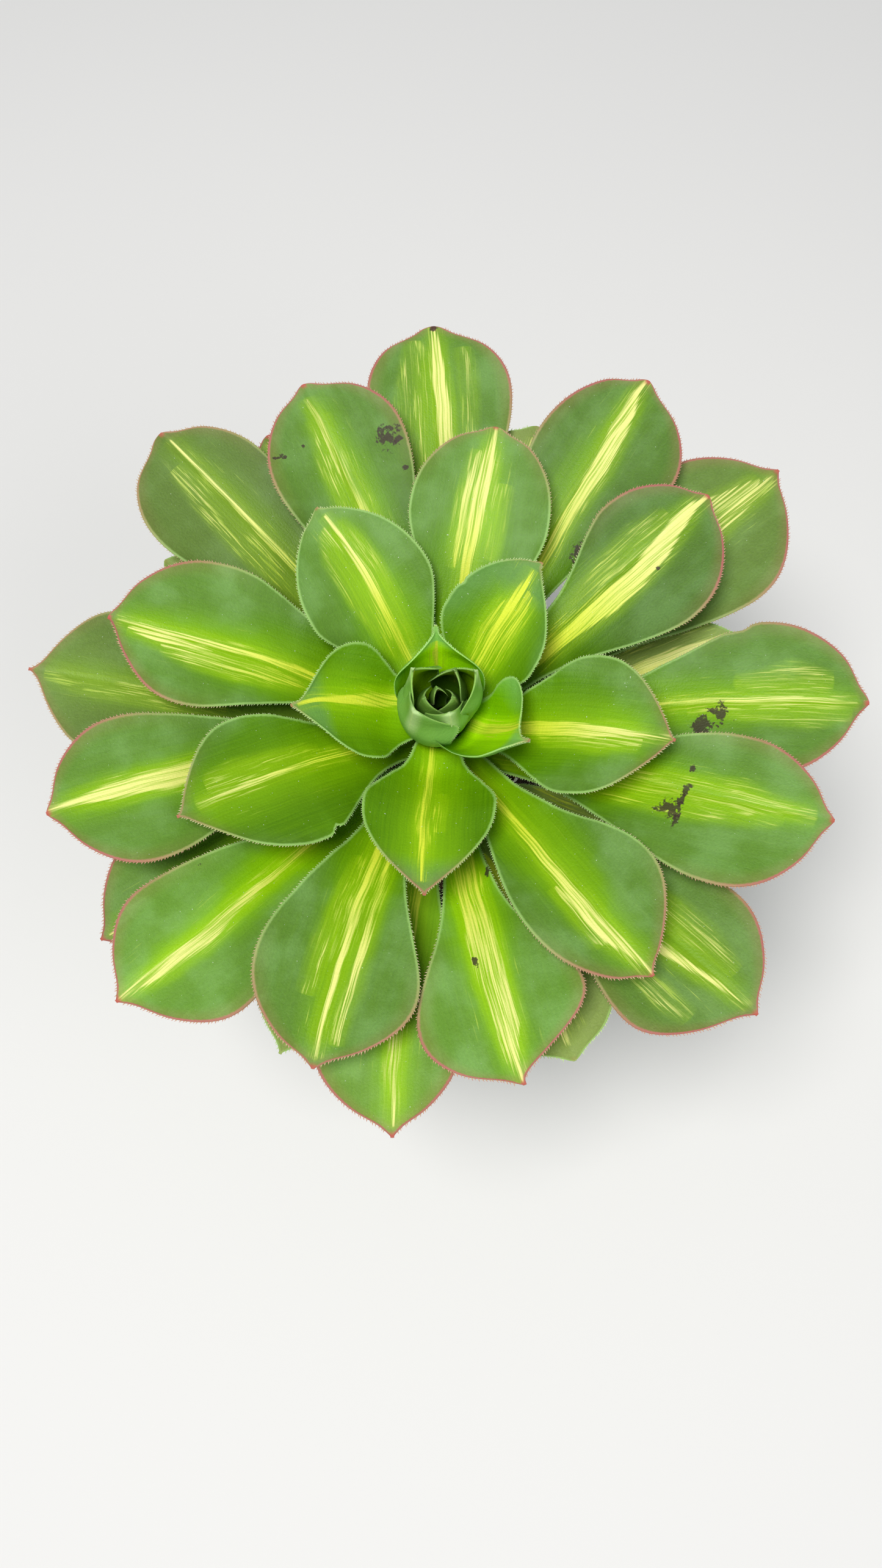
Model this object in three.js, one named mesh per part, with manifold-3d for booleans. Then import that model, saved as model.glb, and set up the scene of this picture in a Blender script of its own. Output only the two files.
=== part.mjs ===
// A potted aeonium: thirty-six broad leaves in a golden-angle rosette round a short thick stem,
// a bud of young leaves at the crown, potting mix and a plain tapered pot.
// Millimetres, +Z up. The origin is the centre of the pot's underside.
import * as THREE from "three";
import { mergeVertices } from "three/addons/utils/BufferGeometryUtils.js";
import Module from "manifold-3d";

const wasm = await Module();
wasm.setup();

// ---- Driving dimensions ----

const POT_HEIGHT = 110;
const POT_MOUTH_RADIUS = 60; // outside, over the rim band
const POT_FOOT_RADIUS = 45;
const POT_WALL = 1.6;
const POT_FLOOR = 2.6;
const RIM_BAND_HEIGHT = 13;
const RIM_BAND_STEP = 2; // how far the band stands out of the wall below it
const DRAIN_RADIUS = 4.5;
const DRAIN_CIRCLE_RADIUS = 27;
const DRAIN_COUNT = 6;

const SOIL_LEVEL = 98;
const SOIL_RELIEF = 1.1;
const STEM_HOLE_DEPTH = 26;

const CROWN_HEIGHT = 181; // height of the rosette's centre above the table
const STEM_TOP_DROP = 17; // the stem ends this far below the rosette's centre
const STEM_RADIUS = 10.2;
const STEM_TIP_RADIUS = 6.7;
const BASE_ROOM = 2.6; // the leaf bases' depth, by which the stem's taper starts lower than theirs
const STEM_FLARE = 1.6; // extra radius where the stem enters the soil
const SCAR_RELIEF = 0.7;

const SEAT_GAP = 0.3; // between pieces that touch

const GOLDEN_ANGLE = 137.508; // degrees from one leaf to the next
const FIRST_LEAF_AZIMUTH = 98.8; // degrees, 0 along +X, growing anticlockwise seen from above

const EDGE_THICKNESS = 0.7;
const TIP_HALF_WIDTH = 0.4;
const CHANNEL_DEPTH = 1.0; // how far a blade's margins stand above its midrib

// ---- The rosette's leaves, youngest first ----
// turn: degrees off the golden-angle spiral; reach: tip's distance from the stem's axis;
// sweep: degrees by which the midrib curves anticlockwise from base to tip;
// droop: how far a leaf's tip hangs below its fellows.
// A side is the half width, where it is widest as a share of the leaf, how strongly the part
// below draws in to a waist, and its point: 0.5 gives a round end, 1 a plain point, more a
// drawn-out one. curl: how many times more than on a plain leaf the side bends up.
// Left is anticlockwise of the midrib.

const side = (half, widestAt, waist, point, curl = 1) => ({ half, widestAt, waist, point, curl });

const LEAF_ROWS = [
  {
    turn: -4,
    reach: 16.5,
    sweep: 0,
    left: side(18, 0.52, 1.1, 2.7),
    right: side(18, 0.52, 1.1, 2.7),
    droop: 3,
  },
  { turn: 4, reach: 30, sweep: 4, left: side(20, 0.52, 1.2, 4), right: side(17.5, 0.38, 1.2, 2, 1.8) },
  { turn: 5, reach: 44, sweep: 10, left: side(19.5, 0.45, 1.3, 1.2), right: side(18, 0.5, 1.3, 2.8) },
  { turn: 6, reach: 50, sweep: 1, left: side(18.5, 0.5, 1.4, 0.75), right: side(16.8, 0.45, 1.4, 1.6) },
  { turn: -3, reach: 63, sweep: 1, left: side(19, 0.5, 1.5, 1.3), right: side(20, 0.54, 1.5, 1.3) },
  { turn: -8, reach: 70, sweep: 6, left: side(23.5, 0.57, 1.5, 0.7), right: side(18.3, 0.58, 1.5, 1) },
  { turn: -8, reach: 70, sweep: -3, left: side(22, 0.63, 1.6, 1.3), right: side(22.8, 0.6, 1.5, 1.1) },
  { turn: -8, reach: 85, sweep: 1, left: side(24, 0.6, 1.7, 1.3), right: side(21, 0.7, 1.6, 1.3) },
  { turn: 0, reach: 89, sweep: 0, left: side(22, 0.7, 1.7, 0.65), right: side(22, 0.68, 1.5, 0.6) },
  { turn: 3, reach: 103, sweep: 1, left: side(22.2, 0.72, 2.1, 1.15), right: side(18.9, 0.71, 1.3, 0.75) },
  { turn: 4, reach: 102, sweep: 2, left: side(21.3, 0.76, 1.8, 1.15), right: side(25.3, 0.72, 1.3, 0.75) },
  { turn: 11, reach: 104, sweep: 1, left: side(18.8, 0.77, 2.8, 0.8), right: side(26.3, 0.74, 1.6, 0.8) },
  { turn: 4, reach: 115, sweep: 5, left: side(23.7, 0.8, 2.3, 1), right: side(23, 0.77, 1.7, 1) },
  { turn: 2, reach: 112, sweep: 3, left: side(22.3, 0.77, 1.7, 0.75), right: side(22.8, 0.8, 1.7, 0.7) },
  { turn: 6, reach: 119, sweep: 3, left: side(20, 0.77, 1.8, 0.9), right: side(26.4, 0.78, 1.7, 0.9) },
  { turn: 3, reach: 119, sweep: 3, left: side(23.7, 0.79, 2, 0.9), right: side(22, 0.8, 1.7, 0.9) },
  { turn: -1, reach: 125, sweep: -3, left: side(20, 0.77, 1.9, 0.7), right: side(26, 0.8, 1.9, 0.8) },
  { turn: 0, reach: 116, sweep: 4, left: side(24.6, 0.81, 3, 1.8), right: side(23.3, 0.84, 3, 0.95) },
  { turn: -8, reach: 125, sweep: 1, left: side(25.3, 0.8, 1.9, 0.6), right: side(19, 0.8, 1.7, 0.8) },
  { turn: -8, reach: 127, sweep: -4, left: side(24.6, 0.78, 2.6, 0.75), right: side(23, 0.8, 1.9, 0.95) },
  { turn: -3, reach: 128, sweep: -1, left: side(25, 0.82, 2, 1.1), right: side(21, 0.82, 1.8, 1.1) },
  { turn: 0, reach: 130, sweep: 2, left: side(23, 0.83, 1.9, 0.6), right: side(24, 0.83, 1.9, 0.7) },
  { turn: -1, reach: 129, sweep: 0, left: side(22, 0.8, 1.9, 1), right: side(27, 0.83, 1.9, 1.2) },
  { turn: 0, reach: 125, sweep: -1, left: side(23, 0.82, 1.9, 1.4), right: side(23, 0.82, 1.9, 1.4) },
  { turn: -3, reach: 133, sweep: 2, left: side(24, 0.8, 1.9, 1), right: side(28, 0.78, 1.9, 1.1) },
  { turn: 3, reach: 128, sweep: 3, left: side(18, 0.8, 1.9, 1.1), right: side(23, 0.82, 1.9, 1.1) },
  { turn: -2, reach: 108, sweep: 0, left: side(20, 0.78, 1.8, 0.7), right: side(20, 0.78, 1.8, 0.7) },
  {
    turn: 5,
    reach: 74,
    sweep: 0,
    left: side(15, 0.74, 1.8, 1.4),
    right: side(15, 0.74, 1.8, 1.4),
    droop: 16,
  },
  { turn: 8, reach: 122, sweep: 0, left: side(22, 0.8, 1.8, 1.1), right: side(22, 0.8, 1.8, 1.1) },
  { turn: 1, reach: 104, sweep: 0, left: side(20, 0.78, 1.8, 0.7), right: side(20, 0.78, 1.8, 0.7) },
  { turn: -4, reach: 113, sweep: 0, left: side(20, 0.8, 1.8, 0.8), right: side(20, 0.8, 1.8, 0.8) },
  { turn: -6, reach: 103, sweep: 0, left: side(18, 0.78, 1.8, 0.8), right: side(18, 0.78, 1.8, 0.8) },
  { turn: -3, reach: 99, sweep: 0, left: side(16, 0.7, 1.8, 1.2), right: side(17, 0.7, 1.8, 1.2) },
  { turn: 5, reach: 114, sweep: 0, left: side(18, 0.8, 1.8, 1.2), right: side(18, 0.8, 1.8, 1.2) },
  { turn: 0, reach: 96, sweep: 0, left: side(17, 0.76, 1.8, 0.9), right: side(17, 0.76, 1.8, 0.9) },
  { turn: -1, reach: 91, sweep: 0, left: side(16, 0.74, 1.8, 1.3), right: side(17, 0.74, 1.8, 1.3) },
];

// The bud's young leaves carry the spiral on inwards, each one smaller, steeper and more closed.
// turn: degrees off the spiral; belly: the radius that the spine bows out to; tipRadius, tipRise:
// where its tip leans in to; half, point and curl: as on a side above, the same left and right.
const BUD_ROWS = [
  { turn: -12, belly: 12.4, tipRadius: 8.6, tipRise: 11.5, half: 14, point: 0.9, curl: 1 },
  { turn: 10, belly: 11.8, tipRadius: 9, tipRise: 13.5, half: 12.5, point: 1.8, curl: 1.6 },
  { turn: -5, belly: 10.6, tipRadius: 8, tipRise: 12.5, half: 10.5, point: 2, curl: 1.1 },
  { turn: 0, belly: 9.4, tipRadius: 6, tipRise: 9, half: 11, point: 1.2, curl: 1.2 },
  { turn: -10, belly: 8.2, tipRadius: 5.6, tipRise: 11, half: 9, point: 1.8, curl: 1.3 },
  { turn: 0, belly: 6.8, tipRadius: 4, tipRise: 8.5, half: 8, point: 1.5, curl: 1.2 },
  { turn: 0, belly: 5.2, tipRadius: 2.6, tipRise: 7, half: 6.5, point: 1.5, curl: 1.2 },
  { turn: 0, belly: 3.6, tipRadius: 1.4, tipRise: 6, half: 4.5, point: 1.5, curl: 1.2 },
];

// ---- Leaf formulas ----

const degrees = THREE.MathUtils.degToRad;
const smooth = (x) => x * x * (3 - 2 * x);
const quadratic = (a, b, c, t) => (1 - t) ** 2 * a + 2 * t * (1 - t) * b + t * t * c;
const quadraticSlope = (a, b, c, t) => 2 * (1 - t) * (b - a) + 2 * t * (c - b);

// Heights are measured from the rosette's centre.
const baseHeight = (rank) => -STEM_TOP_DROP - Math.min(rank, 10) - 1.45 * Math.max(0, rank - 10);
const baseRadius = (rank) => 7 + 3.5 * Math.min(1, rank / 12);

function tipHeight(rank) {
  if (rank <= 15) return 14 + 3 * Math.exp(-(rank - 1) / 2);
  if (rank <= 26) return 14 - 0.9 * (rank - 15);
  return 4.1 - 1.75 * (rank - 26);
}

// The midrib is a quadratic curve in the upright plane through the axis, from the stem to the tip.
function leafSpine(rank, row) {
  const young = Math.exp(-(rank - 1) / 1.2);
  const foot = { r: baseRadius(rank), z: baseHeight(rank) };
  const tip = { r: row.reach, z: tipHeight(rank) - (row.droop ?? 0) };
  const outShare = 0.4 + 0.5 * young;
  const upShare = 0.75 - 0.35 * young;
  const bow = { r: foot.r + outShare * (tip.r - foot.r), z: foot.z + upShare * (tip.z - foot.z) };
  const azimuth = FIRST_LEAF_AZIMUTH - GOLDEN_ANGLE * (rank - 1) + row.turn;
  return { foot, bow, tip, azimuth, sweep: row.sweep };
}

function budSpine(index, row) {
  const foot = { r: 5.6 - 0.6 * index, z: -15.5 + 1.1 * index };
  const tip = { r: row.tipRadius, z: row.tipRise };
  const bow = { r: 2 * row.belly - (foot.r + tip.r) / 2, z: foot.z + 0.42 * (tip.z - foot.z) };
  const azimuth = FIRST_LEAF_AZIMUTH + GOLDEN_ANGLE * (index + 1) + row.turn;
  return { foot, bow, tip, azimuth, sweep: 0 };
}

// Place on the spine, with the directions across and out of the blade, and how strongly the
// blade bends round the axis there: a steep blade wraps the stem, a level one lies flat.
function spineFrame({ foot, bow, tip, azimuth, sweep }, t) {
  const r = quadratic(foot.r, bow.r, tip.r, t);
  const dr = quadraticSlope(foot.r, bow.r, tip.r, t);
  const dz = quadraticSlope(foot.z, bow.z, tip.z, t);
  const turned = degrees(azimuth + sweep * (t * t - 1));
  const outward = new THREE.Vector3(Math.cos(turned), Math.sin(turned), 0);
  const around = new THREE.Vector3(-Math.sin(turned), Math.cos(turned), 0);
  const point = outward.clone().multiplyScalar(r).setZ(quadratic(foot.z, bow.z, tip.z, t));
  const tangent = outward.clone().multiplyScalar(dr);
  tangent.addScaledVector(around, r * degrees(sweep) * 2 * t).setZ(dz).normalize();
  const across = around.addScaledVector(tangent, -around.dot(tangent)).normalize();
  const normal = new THREE.Vector3().crossVectors(tangent, across);
  return { point, across, normal, bend: Math.max(dz, 0.01) / Math.hypot(dr, dz) / r };
}

// Half width of one side: a narrow stalk, a broad shoulder, then the end.
function sideWidth({ half, widestAt, waist, point }, stalk, t) {
  if (t < widestAt) return half * (stalk + (1 - stalk) * smooth((t / widestAt) ** waist));
  return half * (1 - ((t - widestAt) / (1 - widestAt)) ** 2.3) ** point;
}

// A side that curls comes to its full curl this far along the leaf, and its foot stays plain.
const FULL_CURL_AT = 0.4;
const sideCurl = ({ curl }, t) => 1 + (curl - 1) * smooth(Math.min(1, t / FULL_CURL_AT));

// ---- A blade as a closed solid ----

const ACROSS = [-1, -0.55, 0, 0.55, 1];

// Each ring holds the upper face from right margin to left, then the lower face in the same order.
function bladeRing(spine, shape, t) {
  const { point, across, normal, bend } = spineFrame(spine, t);
  const below = new THREE.Vector3(0, 0, 1).lerp(normal, Math.min(1, t / 0.25)).normalize();
  const upper = [];
  const lower = [];
  for (const u of ACROSS) {
    const half = Math.max(shape.halfWidth(t, u), TIP_HALF_WIDTH);
    const curve = bend * shape.curl(t, u);
    const angle = u * half * curve;
    const channel = shape.channel * Math.sin(Math.PI * t) * u * u;
    const lift = (1 - Math.cos(angle)) / curve + channel;
    const place = point.clone().addScaledVector(across, Math.sin(angle) / curve);
    place.addScaledVector(normal, lift);
    const thickness = EDGE_THICKNESS + (shape.thickness(t) - EDGE_THICKNESS) * (1 - u * u);
    upper.push(place);
    lower.push(place.clone().addScaledVector(below, -thickness));
  }
  return [...upper, ...lower];
}

// Joins rings into a closed surface; both faces are split along the same diagonals.
function bladeGeometry(spine, shape, stations) {
  const count = ACROSS.length;
  const positions = [];
  const faces = [];
  const quad = (a, b, c, d) => faces.push(a, b, c, a, c, d);
  stations.forEach((t) => bladeRing(spine, shape, t).forEach((p) => positions.push(p.x, p.y, p.z)));
  const at = (ring, column) => ring * 2 * count + column;
  for (let i = 0; i < stations.length - 1; i++) {
    for (let j = 0; j < count - 1; j++) {
      quad(at(i, j), at(i + 1, j), at(i + 1, j + 1), at(i, j + 1));
      const [a, b] = [at(i, count + j), at(i + 1, count + j)];
      const [c, d] = [at(i + 1, count + j + 1), at(i, count + j + 1)];
      faces.push(a, c, b, a, d, c);
    }
    quad(at(i, 0), at(i, count), at(i + 1, count), at(i + 1, 0));
    quad(at(i, count - 1), at(i + 1, count - 1), at(i + 1, 2 * count - 1), at(i, 2 * count - 1));
  }
  const last = stations.length - 1;
  for (let j = 0; j < count - 1; j++) {
    quad(at(0, j), at(0, j + 1), at(0, count + j + 1), at(0, count + j));
    quad(at(last, j), at(last, count + j), at(last, count + j + 1), at(last, j + 1));
  }
  return closedGeometry(positions, faces);
}

function closedGeometry(positions, faces) {
  const geometry = new THREE.BufferGeometry();
  geometry.setAttribute("position", new THREE.Float32BufferAttribute(positions, 3));
  geometry.setIndex(faces);
  return geometry;
}

// ---- Solids and booleans ----

function toSolid(geometry) {
  const bare = geometry.clone();
  bare.deleteAttribute("normal");
  bare.deleteAttribute("uv");
  const merged = mergeVertices(bare, 1e-4);
  const mesh = new wasm.Mesh({
    numProp: 3,
    vertProperties: new Float32Array(merged.attributes.position.array),
    triVerts: new Uint32Array(merged.index.array),
  });
  return new wasm.Manifold(mesh);
}

function toGeometry(solid) {
  const mesh = solid.getMesh();
  return closedGeometry(Array.from(mesh.vertProperties), Array.from(mesh.triVerts));
}

// ---- Leaves of the rosette ----

const LEAF_STATIONS = [0, 0.12, 0.25, 0.38, 0.5, 0.6, 0.69, 0.77, 0.85, 0.92, 0.97, 1];

function leafGeometry(rank, row) {
  const stalk = 0.22 + 0.25 * Math.exp(-(rank - 1) / 4);
  const baseThickness = Math.min(2.4, 1.4 + 0.08 * rank);
  const shape = {
    halfWidth: (t, u) => sideWidth(u > 0 ? row.left : row.right, stalk, t),
    curl: (t, u) => sideCurl(u > 0 ? row.left : row.right, t),
    thickness: (t) => baseThickness - (baseThickness - 1.2) * t ** 2,
    channel: CHANNEL_DEPTH,
  };
  return bladeGeometry(leafSpine(rank, row), shape, LEAF_STATIONS);
}

// ---- Crown bud: young leaves grown together at the shoot tip ----

const BUD_STATIONS = [0, 0.2, 0.4, 0.58, 0.74, 0.88, 1];
const BUD_CORE_RADIUS = 5.8;
const BUD_LEAF_THICKNESS = 1.3;
const BUD_LEAF_WIDEST_AT = 0.62; // as a share of the leaf
const BUD_LEAF_STALK = 0.6; // width at the foot, as a share of the widest

function budGeometry() {
  const leaves = BUD_ROWS.map((row, index) => {
    const bothSides = side(row.half, BUD_LEAF_WIDEST_AT, 1, row.point, row.curl);
    const shape = {
      halfWidth: (t) => sideWidth(bothSides, BUD_LEAF_STALK, t),
      curl: (t) => sideCurl(bothSides, t),
      thickness: () => BUD_LEAF_THICKNESS,
      channel: 0,
    };
    return toSolid(bladeGeometry(budSpine(index, row), shape, BUD_STATIONS));
  });
  const foot = -STEM_TOP_DROP;
  const profile = [
    new THREE.Vector2(0, foot),
    new THREE.Vector2(BUD_CORE_RADIUS, foot),
    new THREE.Vector2(BUD_CORE_RADIUS - 0.6, foot + 5),
    new THREE.Vector2(BUD_CORE_RADIUS - 2.6, foot + 10),
    new THREE.Vector2(0, foot + 13),
  ];
  const core = toSolid(upright(new THREE.LatheGeometry(profile, 16)));
  return toGeometry(wasm.Manifold.union([core, ...leaves]));
}

// A lathe turns about Y; this stands it on +Z.
function upright(geometry) {
  return geometry.rotateX(Math.PI / 2);
}

// ---- Stem ----

const STEM_SIDES = 28;
const STEM_RINGS = 22;

// Old leaves left low scars on the bare stem below the rosette, on the same spiral.
function scarRelief(azimuth, height) {
  let relief = 0;
  for (let scar = LEAF_ROWS.length + 1; scar <= LEAF_ROWS.length + 14; scar++) {
    const turn = azimuth - degrees(FIRST_LEAF_AZIMUTH - GOLDEN_ANGLE * (scar - 1));
    const across = Math.atan2(Math.sin(turn), Math.cos(turn)) * STEM_RADIUS;
    const up = height - baseHeight(scar);
    relief = Math.max(relief, SCAR_RELIEF * (1 - (across / 6) ** 2 - (up / 2.2) ** 2));
  }
  return relief;
}

function stemRadius(height) {
  const depth = -STEM_TOP_DROP - height;
  const taper = THREE.MathUtils.clamp((depth - BASE_ROOM) / 12, 0, 1);
  const flare = STEM_FLARE * smooth(THREE.MathUtils.clamp((depth - 50) / 16, 0, 1));
  return STEM_TIP_RADIUS + (STEM_RADIUS - STEM_TIP_RADIUS) * taper + flare;
}

function stemGeometry() {
  const top = -STEM_TOP_DROP - SEAT_GAP;
  const foot = SOIL_LEVEL - STEM_HOLE_DEPTH + SEAT_GAP - CROWN_HEIGHT;
  const positions = [0, 0, foot];
  const faces = [];
  for (let i = 0; i <= STEM_RINGS; i++) {
    const height = foot + ((top - foot) * i) / STEM_RINGS;
    for (let j = 0; j < STEM_SIDES; j++) {
      const azimuth = (2 * Math.PI * j) / STEM_SIDES;
      const buried = height < SOIL_LEVEL - CROWN_HEIGHT + 1;
      const radius = stemRadius(height) + (buried ? 0 : scarRelief(azimuth, height));
      positions.push(radius * Math.cos(azimuth), radius * Math.sin(azimuth), height);
    }
  }
  positions.push(0, 0, top);
  const at = (ring, side) => 1 + ring * STEM_SIDES + (side % STEM_SIDES);
  const topCentre = positions.length / 3 - 1;
  for (let j = 0; j < STEM_SIDES; j++) {
    faces.push(0, at(0, j + 1), at(0, j));
    faces.push(topCentre, at(STEM_RINGS, j), at(STEM_RINGS, j + 1));
    for (let i = 0; i < STEM_RINGS; i++) {
      faces.push(at(i, j), at(i, j + 1), at(i + 1, j + 1), at(i, j), at(i + 1, j + 1), at(i + 1, j));
    }
  }
  return closedGeometry(positions, faces);
}

// ---- Pot ----

const POT_SIDES = 56;
const wallRadiusBelowBand = POT_MOUTH_RADIUS - RIM_BAND_STEP;

// Inner radius of the pot at a height above the table, which the potting mix fills.
function potInnerRadius(height) {
  const share = (height - POT_FLOOR) / (POT_HEIGHT - POT_FLOOR);
  const low = POT_FOOT_RADIUS - POT_WALL;
  return low + (wallRadiusBelowBand - POT_WALL - low) * share;
}

function potGeometry() {
  const bandFoot = POT_HEIGHT - RIM_BAND_HEIGHT;
  const profile = [
    [0, 0],
    [POT_FOOT_RADIUS - 1.2, 0],
    [POT_FOOT_RADIUS, 1.2],
    [potInnerRadius(bandFoot) + POT_WALL, bandFoot],
    [POT_MOUTH_RADIUS - 0.6, bandFoot + 0.6],
    [POT_MOUTH_RADIUS, POT_HEIGHT - 0.6],
    [POT_MOUTH_RADIUS - 0.6, POT_HEIGHT],
    [potInnerRadius(POT_HEIGHT) + 0.4, POT_HEIGHT],
    [potInnerRadius(POT_HEIGHT), POT_HEIGHT - 0.4],
    [potInnerRadius(POT_FLOOR), POT_FLOOR],
    [0, POT_FLOOR],
  ].map(([r, z]) => new THREE.Vector2(r, z));
  let pot = toSolid(upright(new THREE.LatheGeometry(profile, POT_SIDES)));
  for (let i = 0; i < DRAIN_COUNT; i++) {
    const azimuth = (2 * Math.PI * i) / DRAIN_COUNT;
    const drill = new THREE.CylinderGeometry(DRAIN_RADIUS, DRAIN_RADIUS, 3 * POT_FLOOR, 16);
    upright(drill).translate(
      DRAIN_CIRCLE_RADIUS * Math.cos(azimuth),
      DRAIN_CIRCLE_RADIUS * Math.sin(azimuth),
      POT_FLOOR / 2,
    );
    pot = pot.subtract(toSolid(drill));
  }
  return toGeometry(pot);
}

// ---- Potting mix ----

const SOIL_SIDES = 44;
const SOIL_RINGS = 10;

// Low lumps on the surface of the mix, highest between the stem and the pot's wall.
function soilRelief(x, y) {
  const lumps = Math.sin(x / 5.3 + 1.1) * Math.cos(y / 4.1) + Math.sin((x + 2 * y) / 7.7 + 0.4);
  return 0.5 * SOIL_RELIEF * lumps;
}

function soilGeometry() {
  const bore = stemRadius(SOIL_LEVEL - CROWN_HEIGHT) + SEAT_GAP;
  const outer = (height) => potInnerRadius(height) - SEAT_GAP;
  const foot = POT_FLOOR + SEAT_GAP;
  const pit = SOIL_LEVEL - STEM_HOLE_DEPTH;
  // Each course is a ring of the closed section, from the pit's middle over the top to the floor.
  const courses = [{ r: bore, z: pit }];
  for (let i = 0; i <= SOIL_RINGS; i++) {
    const r = bore + ((outer(SOIL_LEVEL) - bore) * i) / SOIL_RINGS;
    courses.push({ r, z: SOIL_LEVEL, relief: i < SOIL_RINGS });
  }
  courses.push({ r: outer(foot), z: foot });
  const positions = [0, 0, pit];
  const faces = [];
  for (const { r, z, relief } of courses) {
    for (let j = 0; j < SOIL_SIDES; j++) {
      const azimuth = (2 * Math.PI * j) / SOIL_SIDES;
      const [x, y] = [r * Math.cos(azimuth), r * Math.sin(azimuth)];
      positions.push(x, y, z + (relief ? soilRelief(x, y) : 0));
    }
  }
  positions.push(0, 0, foot);
  const at = (course, side) => 1 + course * SOIL_SIDES + (side % SOIL_SIDES);
  const footCentre = positions.length / 3 - 1;
  const last = courses.length - 1;
  for (let j = 0; j < SOIL_SIDES; j++) {
    faces.push(0, at(0, j), at(0, j + 1));
    for (let i = 0; i < last; i++) {
      faces.push(at(i, j), at(i + 1, j), at(i + 1, j + 1), at(i, j), at(i + 1, j + 1), at(i, j + 1));
    }
    faces.push(footCentre, at(last, j + 1), at(last, j));
  }
  return closedGeometry(positions, faces);
}

// ---- Materials ----

function material(color, roughness) {
  return new THREE.MeshStandardMaterial({ color, roughness, metalness: 0, flatShading: true });
}

const MATERIALS = {
  youngLeaf: material(0x86b81c, 0.42),
  leaf: material(0x6fa24c, 0.46),
  oldLeaf: material(0xa9ad62, 0.6),
  stem: material(0x6e5a3e, 0.85),
  soil: material(0x2a211a, 0.95),
  pot: material(0x1d1d1e, 0.6),
};

function leafMaterial(rank) {
  if (rank <= 5) return MATERIALS.youngLeaf;
  return rank <= 27 || rank === 29 ? MATERIALS.leaf : MATERIALS.oldLeaf;
}

// ---- Assembly ----

function part(name, geometry, partMaterial) {
  const mesh = new THREE.Mesh(geometry, partMaterial);
  mesh.name = name;
  return mesh;
}

const aeonium = new THREE.Group();
const rosette = new THREE.Group();
rosette.position.z = CROWN_HEIGHT;

LEAF_ROWS.forEach((row, index) => {
  const rank = index + 1;
  const name = "leaf_" + String(rank).padStart(2, "0");
  rosette.add(part(name, leafGeometry(rank, row), leafMaterial(rank)));
});
rosette.add(part("crown_bud", budGeometry(), MATERIALS.youngLeaf));
rosette.add(part("stem", stemGeometry(), MATERIALS.stem));

aeonium.add(rosette);
aeonium.add(part("potting_mix", soilGeometry(), MATERIALS.soil));
aeonium.add(part("pot", potGeometry(), MATERIALS.pot));

export default aeonium;
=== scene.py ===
"""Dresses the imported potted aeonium: striped, toothed leaves, a bud of young leaves, a scarred
stem, potting mix and a black moulded pot, on a pale floor under soft studio light."""
import math
from collections import namedtuple
from itertools import combinations

import bpy
import numpy as np
from mathutils import Matrix, Vector, noise


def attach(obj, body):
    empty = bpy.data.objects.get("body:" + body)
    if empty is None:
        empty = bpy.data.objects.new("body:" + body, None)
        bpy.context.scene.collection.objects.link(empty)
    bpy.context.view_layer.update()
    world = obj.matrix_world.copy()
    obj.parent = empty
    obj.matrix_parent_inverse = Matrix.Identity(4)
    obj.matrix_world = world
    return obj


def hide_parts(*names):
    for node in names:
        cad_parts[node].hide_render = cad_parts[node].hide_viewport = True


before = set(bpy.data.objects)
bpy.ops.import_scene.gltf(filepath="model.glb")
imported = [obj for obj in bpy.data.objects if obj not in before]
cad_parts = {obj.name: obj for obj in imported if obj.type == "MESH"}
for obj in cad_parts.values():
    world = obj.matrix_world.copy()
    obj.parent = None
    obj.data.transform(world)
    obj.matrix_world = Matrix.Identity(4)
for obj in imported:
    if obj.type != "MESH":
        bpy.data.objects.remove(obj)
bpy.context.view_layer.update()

MM = 0.001  # the frame is in metres, and the sizes here are millimetres
UP = np.array([0, 0, 1.0])

# ---- Driving dimensions, as in the frame ----

CROWN_HEIGHT = 181  # the rosette's centre above the table; leaf heights are measured from it
STEM_TOP_DROP = 17
GOLDEN_ANGLE = 137.508
FIRST_LEAF_AZIMUTH = 98.8
EDGE_THICKNESS = 0.7
TIP_HALF_WIDTH = 0.4
CHANNEL_DEPTH = 1.0
FULL_CURL_AT = 0.4  # share of the blade's length from which a side curls in full

POT_HEIGHT = 110
POT_MOUTH_RADIUS = 60
POT_FOOT_RADIUS = 45
POT_WALL = 1.6
POT_FLOOR = 2.6
RIM_BAND_HEIGHT = 13
RIM_BAND_STEP = 2
DRAIN_RADIUS = 4.5
DRAIN_CIRCLE_RADIUS = 27
DRAIN_COUNT = 6

SOIL_LEVEL = 98
SOIL_RELIEF = 1.1
STEM_RADIUS = 10.2
STEM_TIP_RADIUS = 6.7
BASE_ROOM = 2.6
STEM_FLARE = 1.6
SCAR_RELIEF = 0.7
STEM_HOLE_DEPTH = 26
SEAT_GAP = 0.3

# ---- The rosette's leaves, youngest first ----
# turn: degrees off the golden-angle spiral; reach: the tip's distance from the axis; sweep:
# degrees by which the midrib curves anticlockwise; a side: half width, where it is widest,
# how strongly it draws in below, its point, and how many times more it curls up than its
# fellows. Left is anticlockwise of the midrib.

Side = namedtuple("Side", "half widest_at waist point curl", defaults=(1,))
Leaf = namedtuple("Leaf", "turn reach sweep left right droop", defaults=(0,))


def even_leaf(turn, reach, side, sweep=0, droop=0):
    """A leaf whose two sides are alike."""
    return Leaf(turn, reach, sweep, side, side, droop)


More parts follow.
